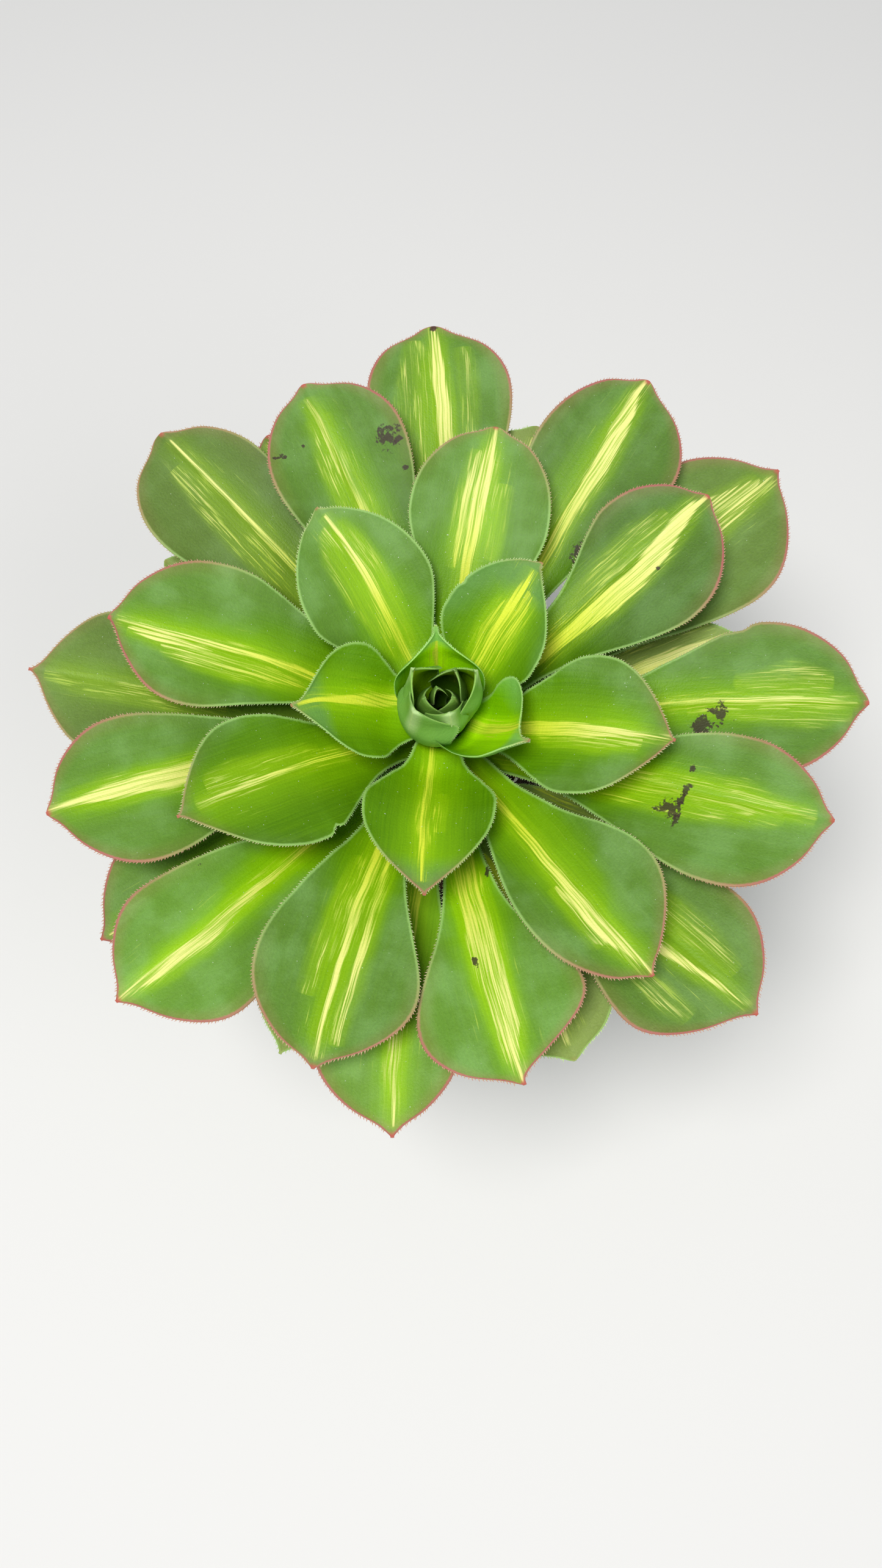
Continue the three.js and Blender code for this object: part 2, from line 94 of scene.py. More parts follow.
LEAVES = [
    even_leaf(-4, 16.5, Side(18, 0.52, 1.1, 2.7), droop=3),
    Leaf(4, 30, 4, Side(20, 0.52, 1.2, 4), Side(17.5, 0.38, 1.2, 2, 1.8)),
    Leaf(5, 44, 10, Side(19.5, 0.45, 1.3, 1.2), Side(18, 0.5, 1.3, 2.8)),
    Leaf(6, 50, 1, Side(18.5, 0.5, 1.4, 0.75), Side(16.8, 0.45, 1.4, 1.6)),
    Leaf(-3, 63, 1, Side(19, 0.5, 1.5, 1.3), Side(20, 0.54, 1.5, 1.3)),
    Leaf(-8, 70, 6, Side(23.5, 0.57, 1.5, 0.7), Side(18.3, 0.58, 1.5, 1)),
    Leaf(-8, 70, -3, Side(22, 0.63, 1.6, 1.3), Side(22.8, 0.6, 1.5, 1.1)),
    Leaf(-8, 85, 1, Side(24, 0.6, 1.7, 1.3), Side(21, 0.7, 1.6, 1.3)),
    Leaf(0, 89, 0, Side(22, 0.7, 1.7, 0.65), Side(22, 0.68, 1.5, 0.6)),
    Leaf(3, 103, 1, Side(22.2, 0.72, 2.1, 1.15), Side(18.9, 0.71, 1.3, 0.75)),
    Leaf(4, 102, 2, Side(21.3, 0.76, 1.8, 1.15), Side(25.3, 0.72, 1.3, 0.75)),
    Leaf(11, 104, 1, Side(18.8, 0.77, 2.8, 0.8), Side(26.3, 0.74, 1.6, 0.8)),
    Leaf(4, 115, 5, Side(23.7, 0.8, 2.3, 1), Side(23, 0.77, 1.7, 1)),
    Leaf(2, 112, 3, Side(22.3, 0.77, 1.7, 0.75), Side(22.8, 0.8, 1.7, 0.7)),
    Leaf(6, 119, 3, Side(20, 0.77, 1.8, 0.9), Side(26.4, 0.78, 1.7, 0.9)),
    Leaf(3, 119, 3, Side(23.7, 0.79, 2, 0.9), Side(22, 0.8, 1.7, 0.9)),
    Leaf(-1, 125, -3, Side(20, 0.77, 1.9, 0.7), Side(26, 0.8, 1.9, 0.8)),
    Leaf(0, 116, 4, Side(24.6, 0.81, 3, 1.8), Side(23.3, 0.84, 3, 0.95)),
    Leaf(-8, 125, 1, Side(25.3, 0.8, 1.9, 0.6), Side(19, 0.8, 1.7, 0.8)),
    Leaf(-8, 127, -4, Side(24.6, 0.78, 2.6, 0.75), Side(23, 0.8, 1.9, 0.95)),
    Leaf(-3, 128, -1, Side(25, 0.82, 2, 1.1), Side(21, 0.82, 1.8, 1.1)),
    Leaf(0, 130, 2, Side(23, 0.83, 1.9, 0.6), Side(24, 0.83, 1.9, 0.7)),
    Leaf(-1, 129, 0, Side(22, 0.8, 1.9, 1), Side(27, 0.83, 1.9, 1.2)),
    even_leaf(0, 125, Side(23, 0.82, 1.9, 1.4), sweep=-1),
    Leaf(-3, 133, 2, Side(24, 0.8, 1.9, 1), Side(28, 0.78, 1.9, 1.1)),
    Leaf(3, 128, 3, Side(18, 0.8, 1.9, 1.1), Side(23, 0.82, 1.9, 1.1)),
    even_leaf(-2, 108, Side(20, 0.78, 1.8, 0.7)),
    even_leaf(5, 74, Side(15, 0.74, 1.8, 1.4), droop=16),
    even_leaf(8, 122, Side(22, 0.8, 1.8, 1.1)),
    even_leaf(1, 104, Side(20, 0.78, 1.8, 0.7)),
    even_leaf(-4, 113, Side(20, 0.8, 1.8, 0.8)),
    even_leaf(-6, 103, Side(18, 0.78, 1.8, 0.8)),
    Leaf(-3, 99, 0, Side(16, 0.7, 1.8, 1.2), Side(17, 0.7, 1.8, 1.2)),
    even_leaf(5, 114, Side(18, 0.8, 1.8, 1.2)),
    even_leaf(0, 96, Side(17, 0.76, 1.8, 0.9)),
    Leaf(-1, 91, 0, Side(16, 0.74, 1.8, 1.3), Side(17, 0.74, 1.8, 1.3)),
]
YOUNG_RANKS = range(1, 6)
OLD_RANKS = [28, *range(30, 37)]

# The bud's leaves: belly is the radius that the spine bows out to.
BudLeaf = namedtuple("BudLeaf", "turn belly tip_radius tip_rise half point curl")
BUD_LEAVES = [
    BudLeaf(-12, 12.4, 8.6, 11.5, 14, 0.9, 1),
    BudLeaf(10, 11.8, 9, 13.5, 12.5, 1.8, 1.6),
    BudLeaf(-5, 10.6, 8, 12.5, 10.5, 2, 1.1),
    BudLeaf(0, 9.4, 6, 9, 11, 1.2, 1.2),
    BudLeaf(-10, 8.2, 5.6, 11, 9, 1.8, 1.3),
    BudLeaf(0, 6.8, 4, 8.5, 8, 1.5, 1.2),
    BudLeaf(0, 5.2, 2.6, 7, 6.5, 1.5, 1.2),
    BudLeaf(0, 3.6, 1.4, 6, 4.5, 1.5, 1.2),
]

# ---- Leaf markings ----
# Places on a leaf are millimetres left of the midrib and shares of its length. A stripe runs
# through its stops of (along, x, width); fill is 1 where it is solid, 0 where it is loose
# threads and less where it is faint. dashes says how many loose marks there are beside the
# midrib, vivid is the half width of the yellow-green middle at 0.6 of the length, bloom covers
# all beyond bloom_from, pink is the colour of rim and point, and dull is an old leaf's fading.
# A spot is a dark stain, stretched along the leaf.

Spot = namedtuple("Spot", "x along size stretch", defaults=(1,))
Look = namedtuple(
    "Look", "stripes dashes vivid bloom_from pink dull spots", defaults=(0.4, 11, 0.94, 1, 0, ())
)


class Stripe:
    def __init__(self, fill, *stops):
        self.fill, self.stops = fill, stops


LOOKS = {
    1: Look([
        Stripe(1, (0.45, 0, 1.6), (0.7, 0.3, 2.6), (0.84, 0, 1)),
    ], dashes=0, vivid=16, bloom_from=0.82, pink=0.2),
    2: Look([
        Stripe(0.8, (0, 3, 4.5), (0.35, 3.5, 4), (0.55, 4, 3), (0.8, 4.5, 2), (0.92, 3, 1)),
    ], dashes=0.1, vivid=12, bloom_from=0.74, pink=0.65),
    3: Look([
        Stripe(0.7, (0.1, -5, 4), (0.3, -3, 4.5), (0.45, -1.5, 4), (0.6, -0.2, 3), (0.8, 0, 1.8),
               (0.95, 0, 0.6)),
    ], dashes=0.3, vivid=22, bloom_from=0.76, pink=0.6),
    4: Look([
        Stripe(0.8, (0.2, 1, 3), (0.5, 0.5, 3), (0.68, 1, 4), (0.82, 1, 2.6), (0.93, 1, 0.8)),
        Stripe(0.1, (0.25, 0, 7), (0.5, 0, 11), (0.66, 0, 9), (0.8, -1, 4)),
    ], dashes=0.5, vivid=13, bloom_from=0.76, pink=0.6),
    5: Look([
        Stripe(0.6, (0, -1.5, 1.4), (0.4, -1.6, 2.4), (0.66, -1.6, 3), (0.8, -1.3, 1.8), (0.93, -1, 0.6)),
        Stripe(-0.5, (0.45, 2, 1.6), (0.65, 2, 1.6)),
    ], dashes=0.1, vivid=30, bloom_from=0.86, pink=0.8),
    6: Look([
        Stripe(0.8, (0.1, 0.3, 2.2), (0.5, 0.5, 2.6), (0.7, 0.3, 2.8), (0.85, 0, 1.6), (0.95, 0, 0.6)),
        Stripe(-0.5, (0.3, 1, 6), (0.6, 2, 12), (0.8, 2, 12), (0.9, 1, 5)),
    ], vivid=9, bloom_from=0.9, pink=0.5),
    7: Look([
        Stripe(1, (0.1, -0.5, 4), (0.5, -1, 5), (0.65, -1.5, 4.5), (0.8, -0.8, 2.6), (0.92, -0.3, 1.2),
               (0.98, 0, 0.5)),
        Stripe(0, (0.45, -3, 4), (0.7, -4.5, 4), (0.86, -2.5, 3)),
    ], dashes=0.2, vivid=15, bloom_from=0.88, pink=0.8),
    8: Look([
        Stripe(0.3, (0.1, -1, 1.6), (0.5, -1.2, 1.8), (0.75, -1, 1.4), (0.92, -0.5, 0.8)),
        Stripe(-0.5, (0.5, -3, 4), (0.76, -4, 7), (0.86, -4, 4)),
    ], dashes=0.5, vivid=26, pink=0.7),
    9: Look([
        Stripe(0.75, (0.3, 1, 2), (0.5, 0.8, 3.4), (0.65, 0.7, 4.6), (0.78, 0.6, 5.2), (0.87, 0.6, 4),
               (0.95, 0.4, 1.8), (1, 0, 0.6)),
        Stripe(0.2, (0.55, 4.5, 2), (0.75, 5, 2.6), (0.9, 3.5, 2)),
        Stripe(-0.5, (0.6, -6, 2), (0.8, -6, 2)),
    ], pink=0.8),
    10: Look([
        Stripe(0.8, (0.1, -1, 2), (0.45, -1.7, 3), (0.65, -2.2, 3.6), (0.78, -2.7, 5), (0.86, -2.2, 4.4),
               (0.94, -0.6, 2.2), (1, 0, 0.8)),
        Stripe(0.1, (0.7, -5, 2), (0.85, -5, 3)),
    ], dashes=0.2, pink=0.9),
    11: Look([
        Stripe(0.5, (0.1, -1, 2.5), (0.45, -1, 2.6), (0.65, -0.6, 2.2), (0.8, 0, 1.6), (0.97, 0, 0.7)),
        Stripe(0.5, (0.74, 2.2, 1.4), (0.86, 2.4, 3.2), (0.93, 1.6, 1.4)),
        Stripe(0.1, (0.45, 3, 3), (0.62, 5, 5), (0.75, 5, 5), (0.83, 4, 3)),
    ]),
    12: Look([
        Stripe(0.8, (0.3, -2.5, 5), (0.5, -4, 6), (0.6, -5, 8), (0.7, -5.2, 6.8), (0.8, -3, 7),
               (0.88, -0.5, 5.6), (0.95, 0.8, 3), (1, 0, 0.8)),
        Stripe(-0.3, (0.45, 0, 4), (0.6, 2.5, 5), (0.78, 4.5, 6), (0.87, 4, 3)),
    ], spots=[Spot(-7, 0.76, 0.8)]),
    13: Look([
        Stripe(0.6, (0.1, -1, 4), (0.4, -0.8, 3.4), (0.6, -0.6, 2.6), (0.8, 0, 1.8), (0.97, 0, 0.7)),
        Stripe(0.3, (0.4, 2.5, 2), (0.6, 4.5, 2.4), (0.8, 5.5, 2.6), (0.93, 4.5, 1.4)),
        Stripe(-0.4, (0.5, -4, 2), (0.7, -6, 3), (0.83, -6, 2)),
    ], dashes=0.8, vivid=9.5, pink=0.9),
    14: Look([
        Stripe(0.15, (0.15, -1.5, 3), (0.5, -1.5, 3), (0.7, -0.5, 2.6), (0.85, 0.8, 2.4), (0.95, 1, 1)),
        Stripe(-0.55, (0.4, 0, 8), (0.65, 1, 9), (0.8, 2, 6), (0.9, 1, 4)),
    ], dashes=0.6, spots=[
        Spot(-17.5, 0.785, 3.4), Spot(-20, 0.77, 1.6), Spot(17.5, 0.845, 2.2, 0.5), Spot(-18, 0.69, 0.9),
        Spot(9, 0.85, 0.8),
    ]),
    15: Look([
        Stripe(-0.05, (0.15, -0.5, 5), (0.5, -1, 5), (0.7, -0.2, 4.5), (0.85, 0.7, 3), (0.95, 0, 1)),
        Stripe(-0.5, (0.3, -2, 8), (0.65, -2, 11), (0.8, -1, 10), (0.88, -1, 5)),
    ], dashes=0.6, vivid=9, spots=[
        Spot(-7, 0.64, 2.8, 1.5), Spot(0.5, 0.667, 1.9, 0.8), Spot(6.8, 0.667, 1.3),
        Spot(-10.5, 0.663, 1.9, 0.8), Spot(-3.5, 0.66, 1.5),
    ]),
    16: Look([
        Stripe(0.85, (0.3, -1, 5), (0.55, -0.8, 6), (0.75, -0.6, 6.6), (0.86, -0.6, 5.5), (0.93, -0.8, 2.4),
               (1, -0.6, 0.9)),
    ], dashes=0.3, vivid=9),
    17: Look([
        Stripe(0.8, (0.3, -2, 2.5), (0.5, -2.6, 3), (0.65, -3, 4), (0.76, -3, 5.4), (0.86, -1.6, 6),
               (0.91, -0.6, 4.6), (0.96, 0.8, 2.2), (1, 0.5, 0.9)),
    ], spots=[Spot(-11, 0.555, 1.6, 2.4)]),
    18: Look([
        Stripe(0.35, (0.1, 0.5, 6), (0.5, 0.2, 7), (0.7, 0.4, 8), (0.8, 0.7, 7.4), (0.87, 0.9, 6.6),
               (0.91, 0.4, 4), (0.95, 0, 2), (1, 0, 0.7)),
    ], dashes=0.6, vivid=9, spots=[Spot(-3.3, 0.7, 1, 1.6), Spot(6.7, 0.46, 0.5, 5)]),
    19: Look([
        Stripe(0.4, (0.3, -1, 2), (0.6, -0.8, 1.6), (0.85, -0.8, 1.4), (0.97, -0.2, 0.6)),
        Stripe(-0.6, (0.5, 5, 3), (0.7, 6, 6), (0.9, 5, 3)),
    ], dashes=0.5, pink=0.8, dull=0.25),
    20: Look([
        Stripe(0.6, (0.3, 1.5, 1.2), (0.7, 0.3, 1.6), (0.88, -0.2, 1.6), (0.97, 0, 0.8)),
        Stripe(-0.25, (0.66, -1, 3), (0.8, -3, 6), (0.88, -4, 7), (0.95, -3, 3)),
        Stripe(-0.25, (0.77, 6, 3), (0.84, 8, 6), (0.91, 6.5, 3)),
    ], dashes=0.8, vivid=9.5, spots=[Spot(-3.5, 0.687, 3), Spot(-8, 0.645, 4, 0.9), Spot(-12, 0.63, 2.6)]),
    21: Look([
        Stripe(0.45, (0.45, -0.5, 2), (0.62, 0, 2.4), (0.7, 1, 3), (0.8, 2.2, 5), (0.88, 2, 4.4),
               (0.95, 0.5, 2), (1, 0, 0.7)),
    ], dashes=0.6, vivid=7.5, spots=[Spot(-16, 0.69, 0.8)]),
    22: Look([
        Stripe(0.9, (0.4, -1.5, 3), (0.7, -1.6, 4.6), (0.8, -1.3, 5.4), (0.88, -0.2, 4.8), (0.95, 0, 3),
               (1, 0, 1.2)),
        Stripe(-0.25, (0.77, -10, 2), (0.87, -10, 3.4), (0.93, -9, 2)),
        Stripe(-0.35, (0.66, 7, 4), (0.82, 9, 8), (0.95, 7, 4)),
    ], dashes=0.6, vivid=9, spots=[Spot(0, 0.995, 1.2)]),
    23: Look([
        Stripe(0.9, (0.6, -7, 2.4), (0.72, -5.6, 3), (0.78, -4.6, 3), (0.85, -2.6, 2.4), (0.9, -1.2, 1.8),
               (0.97, 0, 0.8)),
        Stripe(-0.15, (0.6, 3, 3), (0.74, 5, 8), (0.82, 6, 6), (0.9, 5, 2)),
        Stripe(-0.1, (0.76, -14, 2), (0.85, -15, 4), (0.9, -14, 2)),
    ], dashes=0.8, vivid=10, dull=0.1),
    24: Look([Stripe(-0.7, (0.6, 3, 3), (0.85, 2, 4), (0.95, 0, 2))], pink=0.8, dull=0.3),
    25: Look([
        Stripe(0.2, (0.6, 5, 5), (0.8, 6, 7), (0.94, 2, 3)),
        Stripe(0.25, (0.6, -2, 5), (0.8, -2, 6), (0.97, -0.4, 2.2)),
    ], dashes=0.8, dull=0.25),
    26: Look([Stripe(0.3, (0.3, 0, 4), (0.7, 0, 5), (0.97, 0, 1))], dashes=0.7, dull=0.1),
}
OLD_LOOK = Look([
    Stripe(0.6, (0.4, 0, 3), (0.8, 1, 5), (0.95, 0, 1.6)),
    Stripe(-0.3, (0.4, 6, 3), (0.8, 6, 6), (0.92, 4, 3)),
], dashes=0.6, pink=0.15, dull=0.75)
BUD_LOOK = Look([Stripe(0.3, (0.5, 0, 0.8), (0.97, 0, 0.6))], dashes=0, vivid=30, bloom_from=0.95, pink=0.05)

# How light a leaf's green is, and how much lighter or darker some are than their fellows.
# Leaf 1's 2.2 is painted light: it lightens the hood's inner face, which the lamps leave in shade.
LEAF_TONE = 0.87
TONES_AND_PAINTED_LIGHT = {
    1: 2.2, 2: 1.8, 3: 1.15, 8: 0.84, 10: 0.92, 12: 0.66, 13: 0.91, 14: 0.88, 17: 0.76, 18: 1.18, 19: 0.68,
    20: 0.95, 21: 1.2, 22: 0.93, 23: 0.85, 24: 0.8, 25: 0.8, 26: 1.25,
}

# Small pieces torn out of a leaf's margin: which side (1 left, -1 right), where, how deep, and
# over what share of the length.
Nick = namedtuple("Nick", "side along depth length")
NICKS = {4: Nick(1, 0.66, 0.8, 0.02), 8: Nick(1, 0.553, 1.8, 0.014), 20: Nick(1, 0.735, 1.6, 0.02)}
NO_NICK = Nick(0, 0.5, 0, 1)

# ---- Small helpers ----


def smooth(x):
    """0 to 1, level at both ends."""
    return x * x * (3 - 2 * x)


def fade(x, low, high):
    """Rises smoothly from 0 at low to 1 at high; high may be the smaller one."""
    return smooth(np.clip((x - low) / (high - low), 0, 1))


def hump(x, middle, width):
    """1 at the middle and next to nothing two widths away."""
    return np.exp(-(((x - middle) / width) ** 2))


def quadratic(a, b, c, t):
    return (1 - t) ** 2 * a + 2 * t * (1 - t) * b + t * t * c


def quadratic_slope(a, b, c, t):
    return 2 * (1 - t) * (b - a) + 2 * t * (c - b)


def unit(vectors):
    return vectors / np.linalg.norm(vectors, axis=-1, keepdims=True)


def run_along(points):
    """How far each point is along the line through them all."""
    steps = np.linalg.norm(np.diff(points, axis=0), axis=-1)
    return np.concatenate([[0], np.cumsum(steps)])


def ring(radius, height, sides, x=0, y=0):
    """Points round a circle, anticlockwise seen from above."""
    angles = [2 * math.pi * j / sides for j in range(sides)]
    return [(x + radius * math.cos(a), y + radius * math.sin(a), height) for a in angles]


def tube_faces(rows, columns, first=0):
    """Faces of a tube of rows and of its two ends, seen from outside."""
    faces = []
    for i in range(rows - 1):
        low, high = first + i * columns, first + (i + 1) * columns
        for j in range(columns):
            k = (j + 1) % columns
            faces.append((low + j, low + k, high + k, high + j))
    last = first + (rows - 1) * columns
    faces.append(tuple(first + j for j in reversed(range(columns))))
    faces.append(tuple(last + j for j in range(columns)))
    return faces


# ---- Pieces ----


def add_object(name, data):
    item = bpy.data.objects.new(name, data)
    bpy.context.scene.collection.objects.link(item)
    return item


def make_piece(name, points, faces, uv=None, fields=None, raised=CROWN_HEIGHT, smooth_shaded=True):
    """A mesh object from points in millimetres, on the part's one body."""
    mesh = bpy.data.meshes.new(name)
    mesh.from_pydata(((np.asarray(points) + [0, 0, raised]) * MM).tolist(), [], faces)
    mesh.polygons.foreach_set("use_smooth", [smooth_shaded] * len(mesh.polygons))
    if uv is not None:
        spread = 0.98 / max(np.ptp(uv[:, 0]), np.ptp(uv[:, 1]))
        placed = (uv - uv.min(0)) * spread + 0.01
        layer = mesh.uv_layers.new(name="OFBake")
        layer.data.foreach_set("uv", placed.astype(np.float32).ravel())
    for field, values in (fields or {}).items():
        attribute = mesh.attributes.new(field, "FLOAT", "POINT")
        attribute.data.foreach_set("value", np.asarray(values, np.float32))
    mesh.update()
    piece = add_object(name, mesh)
    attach(piece, "root")
    return piece


def dress(piece, material, slot, *nodes):
    """Gives a piece its material and hides the plain solids that it stands for; slot is not used."""
    piece.data.materials.clear()
    piece.data.materials.append(material)
    if nodes:
        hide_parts(*nodes)


# ---- Leaf formulas ----
# t runs from a blade's foot to its tip, and u from -1 on its right margin to 1 on its left one.

Spine = namedtuple("Spine", "foot bow tip azimuth sweep")
Shape = namedtuple("Shape", "half_width curl lift thickness")  # functions of t and u, or of t


def youth(rank):
    """1 for the youngest leaf, and soon next to nothing."""
    return math.exp(-(rank - 1) / 1.2)


def base_height(rank):
    return -STEM_TOP_DROP - min(rank, 10) - 1.45 * max(0, rank - 10)


def tip_height(rank):
    if rank <= 15:
        return 14 + 3 * math.exp(-(rank - 1) / 2)
    if rank <= 26:
        return 14 - 0.9 * (rank - 15)
    return 4.1 - 1.75 * (rank - 26)


def leaf_spine(rank, leaf):
    young = youth(rank)
    foot = np.array([7 + 3.5 * min(1, rank / 12), base_height(rank)])
    tip = np.array([leaf.reach, tip_height(rank) - leaf.droop])
    bow = foot + np.array([0.4 + 0.5 * young, 0.75 - 0.35 * young]) * (tip - foot)
    azimuth = FIRST_LEAF_AZIMUTH - GOLDEN_ANGLE * (rank - 1) + leaf.turn
    return Spine(foot, bow, tip, azimuth, leaf.sweep)


def bud_spine(index, leaf):
    foot = np.array([5.6 - 0.6 * index, -15.5 + 1.1 * index])
    tip = np.array([leaf.tip_radius, leaf.tip_rise])
    bow_radius = 2 * leaf.belly - (foot[0] + tip[0]) / 2
    bow = np.array([bow_radius, foot[1] + 0.42 * (tip[1] - foot[1])])
    return Spine(foot, bow, tip, FIRST_LEAF_AZIMUTH + GOLDEN_ANGLE * (index + 1) + leaf.turn, 0)


def spine_frame(spine, t):
    """Places on the midrib, the directions across and out of the blade, and its bend."""
    curves = list(zip(spine.foot, spine.bow, spine.tip))
    r, z = (quadratic(*curve, t) for curve in curves)
    dr, dz = (quadratic_slope(*curve, t) for curve in curves)
    turned = np.radians(spine.azimuth + spine.sweep * (t * t - 1))
    outward = np.stack([np.cos(turned), np.sin(turned), 0 * t], -1)
    around = np.stack([-np.sin(turned), np.cos(turned), 0 * t], -1)
    place = outward * r[..., None] + UP * z[..., None]
    swing = r * math.radians(spine.sweep) * 2 * t
    along = unit(outward * dr[..., None] + around * swing[..., None] + UP * dz[..., None])
    across = unit(around - along * (around * along).sum(-1, keepdims=True))
    bend = np.maximum(dz, 0.01) / np.hypot(dr, dz) / r
    return place, across, np.cross(along, across), bend


def side_width(side, stalk, t):
    """Half width of one side: a narrow stalk, a broad shoulder, then the end."""
    inner = stalk + (1 - stalk) * smooth(np.clip(t / side.widest_at, 0, 1) ** side.waist)
    beyond = np.clip((t - side.widest_at) / (1 - side.widest_at), 0, 1)
    return side.half * np.where(t < side.widest_at, inner, (1 - beyond**2.3) ** side.point)


def side_curl(side, t):
    """How many times more than its fellows a side curls."""
    return 1 + (side.curl - 1) * smooth(np.minimum(1, t / FULL_CURL_AT))


# ---- A blade as a closed, finely divided mesh ----

UPPER_COLUMNS = 33
LOWER_COLUMNS = 17
CAP_POINTS = 3
BODY_STATIONS = 56  # up to BODY_SHARE of the blade, then END_STATIONS ever closer to the tip
BODY_SHARE = 0.7
END_STATIONS = 30
EVEN_STATIONS = np.linspace(0, BODY_SHARE, BODY_STATIONS, endpoint=False)
STATIONS = np.append(EVEN_STATIONS, 1 - (1 - BODY_SHARE) * np.linspace(1, 0, END_STATIONS) ** 2)
UPRIGHT_UNTIL = 0.25  # up to here the blade's depth turns from straight down to square to it
THIN_TIP = 0.02  # over this last share of the blade its edge thins out
THINNEST = 0.35

Blade = namedtuple("Blade", "points faces uv fields")


def ring_profile():
    """u across the blade, the kind of place and the angle round the margin for each point of a
    ring. It starts under the midrib and goes over the right margin, the upper face and the left
    margin."""
    lower_half = np.linspace(0, 1, LOWER_COLUMNS // 2 + 1)
    even = np.linspace(-1, 1, UPPER_COLUMNS)
    upper = np.sin(np.pi / 2 * even) * 0.5 + even * 0.5
    cap = np.radians(np.linspace(-90, 90, CAP_POINTS + 2)[1:-1])
    points = [(-u, "lower", 0) for u in lower_half] + [(-1, "cap", angle) for angle in cap]
    points += [(u, "upper", 0) for u in upper] + [(1, "cap", angle) for angle in cap[::-1]]
    points += [(u, "lower", 0) for u in lower_half[::-1][:-1]]
    return (np.array(values) for values in zip(*points))


def blade_surface(spine, shape, t, u):
    """Points of the upper face, the directions aside at u and out, and the half width."""
    place, across, normal, bend = spine_frame(spine, t)
    half = np.maximum(shape.half_width(t, u), TIP_HALF_WIDTH)
    bend = bend * shape.curl(t, u)
    angle = u * half * bend
    lift = (1 - np.cos(angle)) / bend + shape.lift(t, u)
    points = place + across * (np.sin(angle) / bend)[..., None] + normal * lift[..., None]
    sideways = across * np.cos(angle)[..., None] + normal * np.sin(angle)[..., None]
    return points, sideways, normal, half


def blade_mesh(spine, shape, stations):
    u, kind, cap_angle = ring_profile()
    t, u = np.meshgrid(stations, u, indexing="ij")
    points, sideways, normal, half = blade_surface(spine, shape, t, u)
    lean = np.clip(t / UPRIGHT_UNTIL, 0, 1)[..., None]
    below = unit(UP * (1 - lean) + normal * lean)
    thickness = EDGE_THICKNESS + (shape.thickness(t) - EDGE_THICKNESS) * (1 - u * u)
    thickness = thickness * np.clip((1 - t) / THIN_TIP, THINNEST, 1)
    lower = kind == "lower"
    cap = kind == "cap"
    points[:, lower] -= (below * thickness[..., None])[:, lower]
    round_out = np.cos(cap_angle)[None, :, None] * np.sign(u)[..., None] * sideways
    round_down = (1 - np.sin(cap_angle))[None, :, None] * below
    points[:, cap] += (thickness[..., None] / 2 * (round_out - round_down))[:, cap]

    # Each face is its corners' ring and column, in the order that has it look outwards. The
    # column after the last is the first one again.
    rings, columns = t.shape
    corners = []
    for i in range(rings - 1):
        corners += [((i, j), (i + 1, j), (i + 1, j + 1), (i, j + 1)) for j in range(columns)]
    corners.append([(0, j) for j in range(columns)])
    corners.append([(rings - 1, j) for j in reversed(range(columns))])
    faces = [tuple(i * columns + j % columns for i, j in face) for face in corners]

    # The UV map unrolls each ring to both sides of the upper midrib.
    closed = np.concatenate([points, points[:, :1]], axis=1)
    around = np.array([run_along(loop) for loop in closed])
    around -= around[:, -1:] / 2
    rise = run_along(points[:, columns // 2])
    uv = np.array([(around[i, j], rise[i]) for face in corners for i, j in face])
    fields = {
        "along": t.ravel(),
        "streak": (u * half).ravel(),
        "edge": ((1 - np.abs(u)) * half).ravel(),
        "under": np.broadcast_to(lower, t.shape).astype(float).ravel(),
    }
    return Blade(points.reshape(-1, 3), faces, uv, fields)


def join_blades(blades, gap=2):
    """Several blades as one mesh, with their UV maps side by side."""
    points, faces, uv, reach, count = [], [], [], 0, 0
    for blade in blades:
        points.append(blade.points)
        faces += [tuple(v + count for v in face) for face in blade.faces]
        uv.append(blade.uv + [reach - blade.uv[:, 0].min(), 0])
        reach += np.ptp(blade.uv[:, 0]) + gap
        count += len(blade.points)
    fields = {name: np.concatenate([b.fields[name] for b in blades]) for name in blades[0].fields}
    return Blade(np.concatenate(points), faces, np.concatenate(uv), fields)


# ---- Materials: short names for the nodes ----
# Colours are sRGB, 0 to 255, and one painted over another by a share, 0 to 1.


class Value:
    """A node's output, which adds, subtracts, multiplies and divides as a plain number does."""

    def __init__(self, paint, socket):
        self.paint, self.socket = paint, socket

    def __add__(self, other):
        return self.paint.math("ADD", self, other)

    def __sub__(self, other):
        return self.paint.math("SUBTRACT", self, other)

    def __rsub__(self, other):
        return self.paint.math("SUBTRACT", other, self)

    def __mul__(self, other):
        return self.paint.math("MULTIPLY", self, other)

    def __truediv__(self, other):
        return self.paint.math("DIVIDE", self, other)

    def fade(self, low, high):
        """Rises smoothly from 0 at low to 1 at high; high may be the smaller one."""
        inputs = {"Value": self, "From Min": low, "From Max": high}
        return self.paint.value("Result", "MapRange", inputs, interpolation_type="SMOOTHSTEP")


def linear(colour):
    """An sRGB colour as the linear one that a shader takes; a node's output stays as it is."""
    if isinstance(colour, Value):
        return colour
    shares = [value / 255 for value in colour]
    return (*(v / 12.92 if v <= 0.04045 else ((v + 0.055) / 1.055) ** 2.4 for v in shares), 1)


